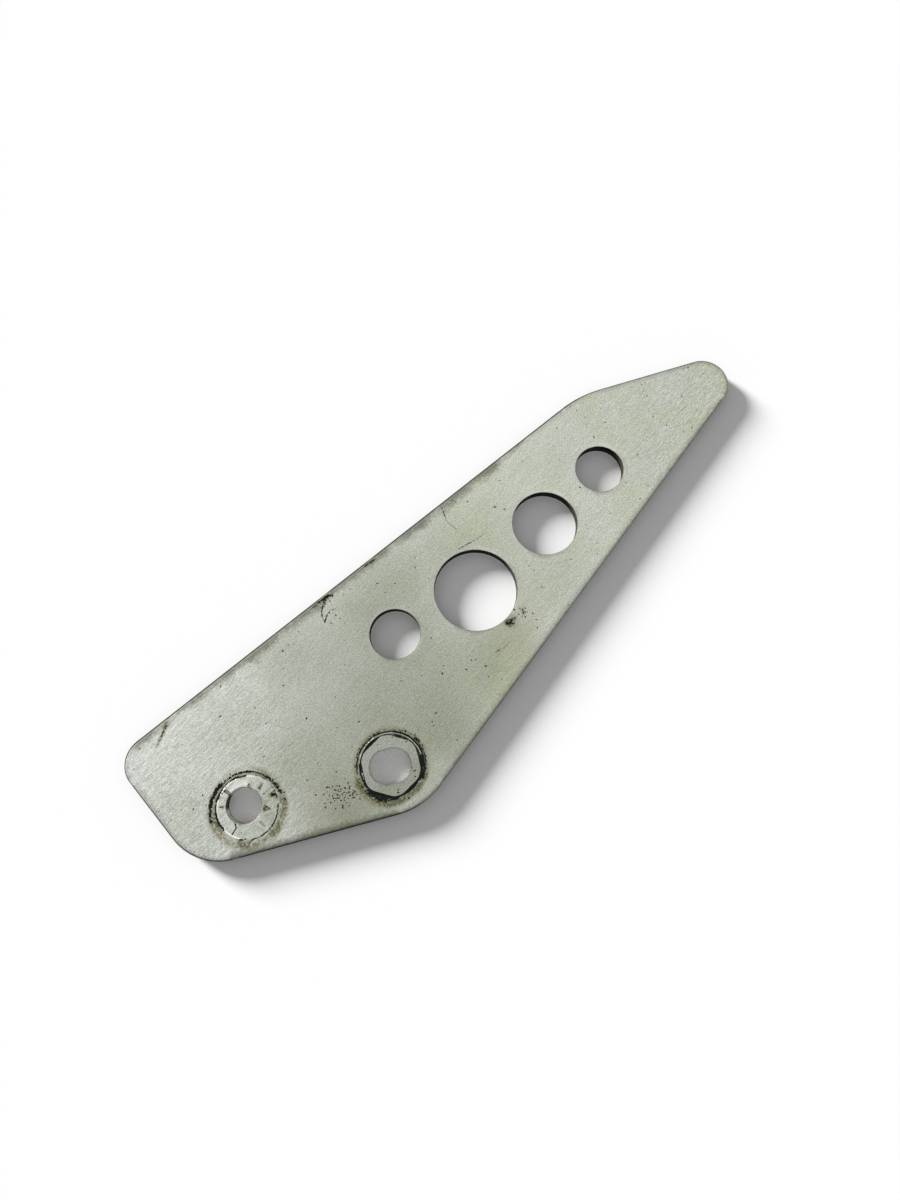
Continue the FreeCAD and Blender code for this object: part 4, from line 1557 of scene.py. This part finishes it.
# scraped metal, also the colour of the painted highlights and glints on rims and seats
SCRAPED_METAL_AND_HIGHLIGHT = (0.95, 0.96, 0.94)
GREASE = (0.006, 0.008, 0.006)
EDGE_DIRT = (0.075, 0.080, 0.048)
OLIVE_GREASE = (0.175, 0.178, 0.098)
EDGE_BLACK = (0.014, 0.015, 0.011)
BROWN_STAIN = (0.20, 0.145, 0.09)
SANDING_ANGLE = math.radians(31.0)

print("colours: metal", CLEAN_METAL, "haze", HAZY_METAL)

# %% [markdown]
# The lowest layer is the metal. The painted film mixes its clean colour with the hazy one,
# and the clouds tint it olive towards the tip and cool near the slot. Its brightness is a
# product of small changes, one for each pattern, so no single pattern stands out.

# %% The metal, its haze and its clouds
def metal_colour(tree, clouds, small_clouds):
    """Clean metal under grey-green haze, with olive and cool clouds."""
    cloudy = times(tree, minus(tree, clouds["Patches"], 0.5), 0.16)
    thick = plus(tree, read_map(tree, "film"), cloudy, clamp=True)
    colour = blend(tree, thick, CLEAN_METAL, HAZY_METAL)
    olive = spread(tree, clouds["Patches"], 0.1, 0.9, 0.5, 1.0)
    colour = blend(tree, times(tree, olive, read_map(tree, "olive")), colour, OLIVE_CLOUD)
    cool = spread(tree, small_clouds["Patches"], 0.0, 1.0, 0.6, 1.0)
    return blend(tree, times(tree, cool, read_map(tree, "cool")), colour, COOL_CLOUD)


def metal_tone(tree, lines, long_lines, clouds, small_clouds):
    """Brightness of the metal from its sanding lines, its grain and the pressed land."""
    sanded = times(tree, minus(tree, lines["Lines"], 0.5), read_map(tree, "sanding"))
    tone = plus(tree, times(tree, sanded, 0.50), 1.0)
    for value, darkest, lightest in (
            (long_lines["Lines"], 0.97, 1.03), (clouds["Grain"], 0.77, 1.23),
            (small_clouds["Grain"], 0.965, 1.035), (read_map(tree, "pressed"), 1.0, 0.80)):
        tone = times(tree, tone, spread(tree, value, 0.0, 1.0, darkest, lightest))
    return tone


# %% [markdown]
# Road dirt collects along the edges. It is a wide olive band that frays out over the face,
# widest on the long top edge, and on the rounded edge itself a thin black line, partly dirt
# and partly painted shade, which also hides where the key lamp lights the edge.

# %% Dirt and painted shade along the edges
# painted gap, width in millimetres, fray, amount
EDGE_BANDS = [
    ("top_gap", 3.0, 0.55, 0.72),
    ("base_gap", 2.3, 0.30, 0.72),
    ("edge_gap", 1.9, 0.22, 0.32),
]


def olive_band(tree, place):
    """Olive dirt that creeps in from the edges."""
    band = 0.0
    for gap, width, fray, amount in EDGE_BANDS:
        edge = use_group(tree, ragged_edge, Vector=place, Gap=read_map(tree, gap),
                         Width=width, Fray=fray)
        band = larger(tree, band, times(tree, edge["Dirt"], amount))
    return band


def dark_edge_and_rim_shade(tree):
    """Black on the rounded edge, partly dirt and partly painted shade, and painted shade on
    the rim that faces the key lamp.
    """
    near = spread(tree, read_map(tree, "corner_gap"), 0.12, 0.42, 1.0, 0.0)
    corner = times(tree, read_map(tree, "edge_dirt_and_shade"), near)
    return larger(tree, corner, times(tree, read_map(tree, "rim_painted_shade"), 0.72))


# %% [markdown]
# Dots of grease would be perfect circles, so the coordinates are bent by noise first. Small
# ones crowd in patches, and a few larger ones lie anywhere. The painted soot gets grain
# added before it is cut off, which breaks its edge into crumbs.

# %% Spots, smears and soot
def grease_spots(tree, place, small_clouds):
    """Small dark spots, crowded in patches, and a few larger dots."""
    jitter = new_node(tree, "ShaderNodeTexNoise", {"Vector": place, "Scale": 2.2})
    bent = new_node(tree, "ShaderNodeVectorMath", {
        0: jitter.outputs["Color"], 1: (0.7, 0.7, 0.7), 2: place}, operation="MULTIPLY_ADD")
    pitted = times(tree, read_map(tree, "pitted"), 0.16)
    spots = use_group(tree, specks, Vector=bent.outputs[0], Spacing=1.3, Size=0.24,
                      Amount=pitted)
    dots = use_group(tree, specks, Vector=bent.outputs[0], Spacing=6.1, Size=0.27,
                     Amount=0.11)
    crowd = spread(tree, small_clouds["Patches"], 0.35, 0.75)
    crowded = times(tree, times(tree, spots["Specks"], crowd), 0.6)
    return larger(tree, crowded, times(tree, dots["Specks"], 0.7))


def smeared_colour(tree, colour, soot_map, clouds):
    """Olive grease over the metal, darker where it lies thick."""
    smear_map = read_map(tree, "smear")
    smear = times(tree, smear_map, 1.0, clamp=True)
    smear = times(tree, smear, spread(tree, clouds["Grain"], 0.0, 1.0, 0.58, 0.92))
    colour = blend(tree, smear, colour, OLIVE_GREASE)
    thick = spread(tree, smear_map, 0.85, 1.6, 0.0, 0.65)
    thick = plus(tree, thick, times(tree, soot_map, 0.22), clamp=True)
    return blend(tree, thick, colour, EDGE_DIRT)


def crisp_soot(tree, soot_map, clouds):
    """Painted soot with its edge broken into crumbs."""
    grainy = times(tree, minus(tree, clouds["Grain"], 0.5), 0.45)
    return spread(tree, plus(tree, soot_map, grainy), 0.30, 0.75)


# %% [markdown]
# Last the layers are laid over each other. Scraped metal with its painted highlights and
# brown stain lie on the metal and under the dirt, and soot covers all. The more dirt and
# painted edge shade, the less metallic and the rougher the shader is, and the bump gets the
# sanding lines, the grain and the spots as hollows.

# %% The face
def make_face_material():
    """Sanded, hazy, dirty aluminium."""
    material, tree, shader = start_material("sanded_face", 0.42, 1.0)
    shader.inputs["Specular IOR Level"].default_value = 0.10
    place = plate_millimetres(tree)
    lines = use_group(tree, sanding_lines, Vector=place, Angle=SANDING_ANGLE,
                      Width=0.14, Length=1.0)
    long_lines = use_group(tree, sanding_lines, Vector=place, Angle=SANDING_ANGLE + 0.12,
                           Width=0.34, Length=9.0)
    clouds = use_group(tree, mottle, Vector=place, Patch=15.0, Grit=0.27)
    small_clouds = use_group(tree, mottle, Vector=place, Patch=3.2, Grit=0.75)

    colour = metal_colour(tree, clouds, small_clouds)
    colour = scaled(tree, colour, metal_tone(tree, lines, long_lines, clouds, small_clouds))
    bright = spread(tree, small_clouds["Patches"], 0.0, 0.6, 0.6, 1.0)
    bright = times(tree, read_map(tree, "bare_and_highlight"), bright, clamp=True)
    colour = blend(tree, bright, colour, SCRAPED_METAL_AND_HIGHLIGHT)
    rust = spread(tree, small_clouds["Grain"], 0.1, 0.8, 0.35, 1.0)
    rust = times(tree, read_map(tree, "rust"), rust, clamp=True)
    colour = blend(tree, rust, colour, BROWN_STAIN)
    band = olive_band(tree, place)
    colour = blend(tree, band, colour, EDGE_DIRT)
    corner = dark_edge_and_rim_shade(tree)
    colour = blend(tree, corner, colour, EDGE_BLACK)
    soot_map = read_map(tree, "soot")
    colour = smeared_colour(tree, colour, soot_map, clouds)
    spotted = grease_spots(tree, place, small_clouds)
    soot = larger(tree, crisp_soot(tree, soot_map, clouds), spotted)
    colour = blend(tree, soot, colour, GREASE)
    tree.links.new(colour, shader.inputs["Base Color"])

    dull = larger(tree, larger(tree, soot, corner), times(tree, band, 0.5))
    metal = minus(tree, 1.0, times(tree, dull, 0.8))
    tree.links.new(metal, shader.inputs["Metallic"])
    rough = spread(tree, lines["Lines"], 0.0, 1.0, 0.50, 0.38)
    rough = plus(tree, rough, times(tree, dull, 0.35))
    rough = minus(tree, rough, times(tree, bright, 0.10))
    tree.links.new(rough, shader.inputs["Roughness"])

    height = times(tree, lines["Height"], 0.45)
    height = plus(tree, height, times(tree, clouds["Grain"], 0.2))
    height = minus(tree, height, times(tree, spotted, 0.6))
    add_bump(tree, shader, height, 0.025)
    return material


face_finish = make_face_material()
print("finish:", face_finish.name, "with", len(face_finish.node_tree.nodes), "nodes")

# %% [markdown]
# ## The finish of the cut walls
#
# The walls of the outline and of the lightening holes were never sanded. They keep the
# vertical lines of the tool that cut them, and since a hand doesn't reach them either, they
# are painted nearly black: partly road dirt and chain grease, partly painted shade, which
# also hides where the key lamp lights them. The walls of the two bolt holes are painted
# pale, near white: partly metal rubbed by the bolts, partly painted light for what their
# slightly dished rims catch. Both are the same cut metal under more or less dirt and
# painted shade, so one function makes them.

# %% Cut walls
# near-black wall colours are partly dirt and partly painted shade; pale bore colours are
# partly rubbed metal and partly painted light; the dark brown is grease and, where a wall
# faces the key lamp, painted shade
WALL_METAL_IN_SHADE = (0.016, 0.018, 0.015)
WALL_DIRT_AND_SHADE = (0.006, 0.007, 0.006)
BORE_METAL_LIGHTENED = (0.80, 0.80, 0.77)
BORE_HAZE_LIGHTENED = (0.68, 0.68, 0.64)
GREASE_AND_SHADE_ON_WALLS = (0.045, 0.038, 0.024)


def make_wall_material(name, metal_colour, dirt_colour, metallic):
    """Wall with the lines of the cutter, under dirt and painted shade."""
    material, tree, shader = start_material(name, 0.7, metallic)
    shader.inputs["Specular IOR Level"].default_value = 0.15
    place = plate_millimetres(tree)
    cutter = cloud(tree, stretch(tree, place, (1.0, 1.0, 0.08)), 5.0, 2.0, 0.6)
    clouds = use_group(tree, mottle, Vector=place, Patch=4.0, Grit=0.4)
    colour = blend(tree, clouds["Patches"], metal_colour, dirt_colour)
    colour = blend(tree, read_map(tree, "wall_grease_and_shade"), colour, GREASE_AND_SHADE_ON_WALLS)
    tone = times(tree, spread(tree, cutter, 0.35, 0.65, 0.75, 1.3),
                 spread(tree, clouds["Grain"], 0.0, 1.0, 0.85, 1.15))
    tree.links.new(scaled(tree, colour, tone), shader.inputs["Base Color"])
    rough = spread(tree, clouds["Patches"], 0.0, 1.0, 0.6, 0.85)
    tree.links.new(rough, shader.inputs["Roughness"])
    add_bump(tree, shader, cutter, 0.03)
    return material


wall_finish = make_wall_material("cut_wall", WALL_METAL_IN_SHADE, WALL_DIRT_AND_SHADE, 0.2)
bore_finish = make_wall_material("pale_bore", BORE_METAL_LIGHTENED, BORE_HAZE_LIGHTENED, 0.3)
for finish in (face_finish, wall_finish, bore_finish):
    plate_mesh.materials.append(finish)
print("finishes:", wall_finish.name, bore_finish.name)

# %% [markdown]
# ## Rolled burrs
#
# Where a steel washer turns on aluminium it pushes up a thread of metal, bright where it was
# just smeared and gone where it broke off. It follows a circle, so Geometry Nodes make it:
# an arc, pushed about by noise, with a small round profile whose size comes from noise too.
# The same tree makes every burr on both seats, and only the numbers differ.

# %% Smeared metal, with a near-white finish as a painted glint
def make_burr_material(name, low_colour, high_colour, smoothest):
    """Smeared aluminium with grease in its low places."""
    material, tree, shader = start_material(name, 0.22, 1.0)
    clouds = use_group(tree, mottle, Vector=millimetres(tree), Patch=1.1, Grit=0.25)
    colour = blend(tree, clouds["Patches"], low_colour, high_colour)
    tone = spread(tree, clouds["Grain"], 0.0, 1.0, 0.85, 1.1)
    tree.links.new(scaled(tree, colour, tone), shader.inputs["Base Color"])
    rough = spread(tree, clouds["Patches"], 0.0, 1.0, smoothest + 0.15, smoothest)
    tree.links.new(rough, shader.inputs["Roughness"])
    add_bump(tree, shader, clouds["Grain"], 0.02)
    return material


# the first finish is near white and smooth: a painted glint on the two brightest threads
glint_burr = make_burr_material("glint_burr", (0.96, 0.96, 0.95), (0.99, 0.99, 0.99), 0.14)
worn_burr = make_burr_material("worn_burr", (0.24, 0.23, 0.19), (0.78, 0.77, 0.72), 0.45)
dull_burr = make_burr_material("dull_burr", (0.06, 0.055, 0.04), (0.42, 0.40, 0.32), 0.40)
print("finishes:", glint_burr.name, worn_burr.name, dull_burr.name)

# %% [markdown]
# A tree of Geometry Nodes has a start and an end that are always alike: the mesh and the
# named inputs come in, and at the end the pieces are made real and get their finish. Two
# helpers do that, for the burrs here and for the grit later.

# %% Start and end of a tree
GEOMETRY = "NodeSocketGeometry"
MATERIAL = "NodeSocketMaterial"
WHOLE_NUMBER = "NodeSocketInt"


def start_tree(name, sockets):
    """Tree with a mesh in and out and some named inputs. Returns it and what it is given."""
    tree = bpy.data.node_groups.new(name, "GeometryNodeTree")
    tree.interface.new_socket("Geometry", in_out="INPUT", socket_type=GEOMETRY)
    for label, kind in sockets.items():
        tree.interface.new_socket(label, in_out="INPUT", socket_type=kind)
    tree.interface.new_socket("Geometry", in_out="OUTPUT", socket_type=GEOMETRY)
    return tree, tree.nodes.new("NodeGroupInput").outputs


def end_tree(tree, instances, finish):
    """Make the pieces real, give them their finish and hand them out."""
    real = new_node(tree, "GeometryNodeRealizeInstances", {"Geometry": instances})
    coated = new_node(tree, "GeometryNodeSetMaterial", {
        "Geometry": real.outputs["Geometry"], "Material": finish})
    new_node(tree, "NodeGroupOutput", {"Geometry": coated.outputs["Geometry"]})


# %% [markdown]
# The thread is thin, and at its ends it tapers to nothing. Wander moves its path sideways
# and hardly upwards, and Thinnest says how thin it gets between its thick places. It is
# pressed flat, because the washer lay on it.

# %% Tree of the rolled burr
BURR_FLATNESS = 0.42
STEPS_ALONG = 160
STEPS_AROUND = 8
WANDER_SCALE = 700.0
SWELL_SCALE = 420.0


def make_burr_tree():
    """Arc, noise, profile. Sizes are metres and radians."""
    tree, given = start_tree("rolled_burr", {
        "Centre": VECTOR, "Radius": FLOAT, "Start": FLOAT, "Sweep": FLOAT,
        "Thickness": FLOAT, "Wander": FLOAT, "Thinnest": FLOAT, "Seed": FLOAT,
        "Finish": MATERIAL})
    arc = new_node(tree, "GeometryNodeCurveArc", {
        "Resolution": STEPS_ALONG, "Radius": given["Radius"], "Start Angle": given["Start"],
        "Sweep Angle": given["Sweep"]}, mode="RADIUS")
    position = new_node(tree, "GeometryNodeInputPosition").outputs[0]
    wobble = new_node(tree, "ShaderNodeTexNoise", {
        "Vector": position, "W": given["Seed"], "Scale": WANDER_SCALE, "Detail": 2.0},
        noise_dimensions="4D")
    centred = new_node(tree, "ShaderNodeVectorMath", {
        0: wobble.outputs["Color"], 1: (0.5, 0.5, 0.5)}, operation="SUBTRACT")
    sideways = stretch(tree, centred.outputs[0], (1.0, 1.0, 0.1))
    moved = new_node(tree, "GeometryNodeSetPosition", {
        "Geometry": arc.outputs["Curve"], "Offset": scaled(tree, sideways, given["Wander"])})
    swell = new_node(tree, "ShaderNodeTexNoise", {
        "Vector": position, "W": given["Seed"], "Scale": SWELL_SCALE, "Detail": 3.0},
        noise_dimensions="4D")
    kept = spread(tree, swell.outputs["Fac"], 0.38, 0.62, given["Thinnest"])
    along = new_node(tree, "GeometryNodeSplineParameter").outputs["Factor"]
    ends = spread(tree, calculate(tree, "PINGPONG", along, 0.5), 0.0, 0.12)
    profile = new_node(tree, "GeometryNodeCurvePrimitiveCircle", {
        "Resolution": STEPS_AROUND, "Radius": given["Thickness"]}, mode="RADIUS")
    thread = new_node(tree, "GeometryNodeCurveToMesh", {
        "Curve": moved.outputs["Geometry"], "Profile Curve": profile.outputs["Curve"],
        "Scale": times(tree, kept, ends), "Fill Caps": True})
    placed = new_node(tree, "GeometryNodeTransform", {
        "Geometry": thread.outputs["Mesh"], "Translation": given["Centre"],
        "Scale": (1.0, 1.0, BURR_FLATNESS)})
    end_tree(tree, placed.outputs["Geometry"], given["Finish"])
    return tree


burr_tree = make_burr_tree()
print("tree:", burr_tree.name, "with", len(burr_tree.nodes), "nodes")

# %% [markdown]
# A tree runs on an object through a modifier. Its inputs are set by their identifiers, since
# names may change. The finished shape is then kept as a plain mesh and the modifier goes,
# because the part is handed over as meshes only.

# %% Run a tree on an object and keep the result as a plain mesh
def run_tree(name, tree, base_mesh, **values):
    """Object made by a tree whose inputs are set by their identifiers."""
    worker = bpy.data.objects.new(name + "_worker", base_mesh)
    scene.collection.objects.link(worker)
    modifier = worker.modifiers.new(name, "NODES")
    modifier.node_group = tree
    identifiers = {
        item.name: item.identifier for item in tree.interface.items_tree
        if item.item_type == "SOCKET" and item.in_out == "INPUT"}
    for label, value in values.items():
        modifier[identifiers[label]] = value
    bpy.context.view_layer.update()
    evaluated = worker.evaluated_get(bpy.context.evaluated_depsgraph_get())
    mesh = bpy.data.meshes.new_from_object(evaluated)
    mesh.name = name
    worker.modifiers.remove(modifier)
    bpy.data.objects.remove(worker)
    piece = bpy.data.objects.new(name, mesh)
    scene.collection.objects.link(piece)
    return piece


# %% [markdown]
# Where a thread tapers to nothing, its points fall together. They are merged, so that the
# skin is closed and no face has zero size.

# %% Close a thread
WELD_DISTANCE = 1e-7
SHORTEST_EDGE = 1e-8


def close_poles(piece):
    """Merge the points that a taper brought together, and turn every face outwards."""
    shell = bmesh.new()
    shell.from_mesh(piece.data)
    bmesh.ops.remove_doubles(shell, verts=shell.verts, dist=WELD_DISTANCE)
    bmesh.ops.dissolve_degenerate(shell, edges=shell.edges, dist=SHORTEST_EDGE)
    bmesh.ops.recalc_face_normals(shell, faces=shell.faces)
    shell.to_mesh(piece.data)
    shell.free()
    piece.data.shade_smooth()


def top_of(piece):
    """Highest point of a piece in millimetres."""
    return round(max(vertex.co.z for vertex in piece.data.vertices) / MM, 3)


# %% [markdown]
# The washer left one broad lip at its lower left and thinner, worn threads round the rest
# of the ring. The hexagon head left one long thin thread and a short one. The broad lip and
# the short thread carry the near-white finish, a painted glint. Each burr is sunk a little
# into the face, so that it looks pushed up and not laid on.

# %% Burrs of the two seats
# centre, radius, start and sweep in degrees, thickness, wander, thinnest, seed, finish
BURRS = {
    "washer_burr_bright": (
        WASHER_CENTRE, 6.86, 211, 35, 0.22, 0.06, 0.70, 2.0, glint_burr),
    "washer_burr_right": (WASHER_CENTRE, 6.76, 44, 38, 0.05, 0.30, 0.12, 5.0, worn_burr),
    "washer_burr_top": (WASHER_CENTRE, 6.88, 106, 21, 0.06, 0.25, 0.12, 6.0, worn_burr),
    "washer_burr_left": (WASHER_CENTRE, 6.82, 148, 44, 0.06, 0.25, 0.12, 7.0, worn_burr),
    "washer_burr_outer": (WASHER_CENTRE, 7.50, 30, 150, 0.05, 0.30, 0.12, 9.0, dull_burr),
    "head_burr_ring": (HEAD_CENTRE, 7.33, 0, 166, 0.045, 0.12, 0.12, 13.0, worn_burr),
    "head_burr_glint": (HEAD_CENTRE, 6.78, 178, 15, 0.09, 0.20, 0.12, 15.0, glint_burr),
    "head_burr_outer": (HEAD_CENTRE, 7.85, -30, 220, 0.05, 0.50, 0.12, 17.0, dull_burr),
}
SUNK = 0.1
burrs = []
for name, numbers in BURRS.items():
    centre, radius, start, sweep, thickness, wander, thinnest, seed, finish = numbers
    height = THICKNESS - SUNK * thickness
    burr = run_tree(
        name, burr_tree, bpy.data.meshes.new(name + "_base"),
        Centre=(centre[0] * MM, centre[1] * MM, height * MM),
        Radius=radius * MM, Start=math.radians(start), Sweep=math.radians(sweep),
        Thickness=thickness * MM, Wander=wander * MM, Thinnest=thinnest, Seed=seed,
        Finish=finish)
    close_poles(burr)
    burrs.append(burr)
    print(name, len(burr.data.polygons), "faces, top at", top_of(burr), "mm")

# %% [markdown]
# ## Grit
#
# Sand and dried grease stick in a few places: beside the widest hole, on the top edge and in
# a patch near the slot. Each crumb is too small to model by hand, and they crowd where the
# dirt is. So the plate carries one more painted map, and Geometry Nodes drop crumbs on the
# face with that map as their density.

# %% Dark grit
def make_grit_material():
    """Matt crumbs of dried grease."""
    material, tree, shader = start_material("dried_grease", 0.9, 0.0)
    shader.inputs["Specular IOR Level"].default_value = 0.10
    clouds = use_group(tree, mottle, Vector=millimetres(tree), Patch=1.4, Grit=0.2)
    colour = blend(tree, clouds["Patches"], (0.006, 0.007, 0.006), (0.028, 0.030, 0.020))
    tone = spread(tree, clouds["Grain"], 0.0, 1.0, 0.7, 1.3)
    tree.links.new(scaled(tree, colour, tone), shader.inputs["Base Color"])
    rough = spread(tree, clouds["Grain"], 0.0, 1.0, 0.7, 0.95)
    tree.links.new(rough, shader.inputs["Roughness"])
    add_bump(tree, shader, clouds["Grain"], 0.03)
    return material


grit_finish = make_grit_material()
print("finish:", grit_finish.name)

# %% [markdown]
# A crumb is a ball of twenty faces, turned and scaled at random. It is longer than it is
# wide and much lower than either, so the heaps stay flat and no crumb stands up from the
# face.

# %% Tree of the grit
WHOLE_TURN = 6.283
SMALLEST_CRUMB = (0.35, 0.30, 0.12)
LARGEST_CRUMB = (1.5, 0.9, 0.25)


def make_grit_tree():
    """Points on the face by density, and a flat crumb on each."""
    tree, given = start_tree("grit", {
        "Density": FLOAT, "Size": FLOAT, "Seed": WHOLE_NUMBER, "Finish": MATERIAL})
    painted_grit = new_node(
        tree, "GeometryNodeInputNamedAttribute", {"Name": "grit"}, data_type="FLOAT")
    drop = new_node(tree, "GeometryNodeDistributePointsOnFaces", {
        "Mesh": given["Geometry"], "Seed": given["Seed"],
        "Density": times(tree, painted_grit.outputs["Attribute"], given["Density"])},
        distribute_method="RANDOM")
    crumb = new_node(tree, "GeometryNodeMeshIcoSphere", {
        "Radius": given["Size"], "Subdivisions": 1})
    turn = new_node(tree, "FunctionNodeRandomValue", {
        "Max": (0.0, 0.0, WHOLE_TURN), "Seed": given["Seed"]}, data_type="FLOAT_VECTOR")
    size = new_node(tree, "FunctionNodeRandomValue", {
        "Min": SMALLEST_CRUMB, "Max": LARGEST_CRUMB, "Seed": given["Seed"]},
        data_type="FLOAT_VECTOR")
    put = new_node(tree, "GeometryNodeInstanceOnPoints", {
        "Points": drop.outputs["Points"], "Instance": crumb.outputs["Mesh"],
        "Rotation": turn.outputs["Value"], "Scale": size.outputs["Value"]})
    end_tree(tree, put.outputs["Instances"], given["Finish"])
    return tree


grit_tree = make_grit_tree()
print("tree:", grit_tree.name, "with", len(grit_tree.nodes), "nodes")

# %% [markdown]
# The density is painted like the other maps: thick in the patch near the slot and in the
# heaps, thin round the two seats, and next to nothing elsewhere. It is cut off at the
# rounded edges, so no crumb hangs over one.

# %% Drop the grit
SPECKLE_REACH = np.array([3.6, 2.1])
GRIT_HEAPS = [(GRIME_HEAP, 1.3), (GRIME_CRUMBS, 1.3), (SMUDGE, 1.6)]
GRIT_ANYWHERE = 0.012
CRUMBS_PER_SQUARE_METRE = 1.1e6
CRUMB_RADIUS = 0.26 * MM
CRUMB_FACES = 20
FACE_BEGINS = 2.9

patch_away = (places - SPECKLE_PATCH) / SPECKLE_REACH
grit_density = 3.0 * np.exp(-np.sum(patch_away ** 2, axis=1))
for heap, reach in GRIT_HEAPS:
    grit_density += 1.3 * halo(places, heap, reach)
grit_density += GRIT_ANYWHERE
grit_density += 0.8 * hill(head_radius, 8.0, 0.7)
grit_density += 0.8 * hill(washer_radius, 8.4, 0.6) * fan(washer_angle, 0, 200, 15)
grit_density *= (heights > FACE_BEGINS) * (depth_inside(places) > FRONT_RADIUS)
add_map(plate_mesh, "grit", grit_density)
grit = run_tree("grit", grit_tree, plate_mesh.copy(), Density=CRUMBS_PER_SQUARE_METRE,
                Size=CRUMB_RADIUS, Seed=11, Finish=grit_finish)
print("crumbs:", len(grit.data.polygons) // CRUMB_FACES, "top at", top_of(grit), "mm")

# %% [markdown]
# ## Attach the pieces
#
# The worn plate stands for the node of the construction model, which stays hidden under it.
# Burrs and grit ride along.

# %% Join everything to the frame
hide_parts("heel_plate")
for piece in [plate, grit] + burrs:
    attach(piece, "root")
print("pieces:", [piece.name for piece in [plate, grit] + burrs])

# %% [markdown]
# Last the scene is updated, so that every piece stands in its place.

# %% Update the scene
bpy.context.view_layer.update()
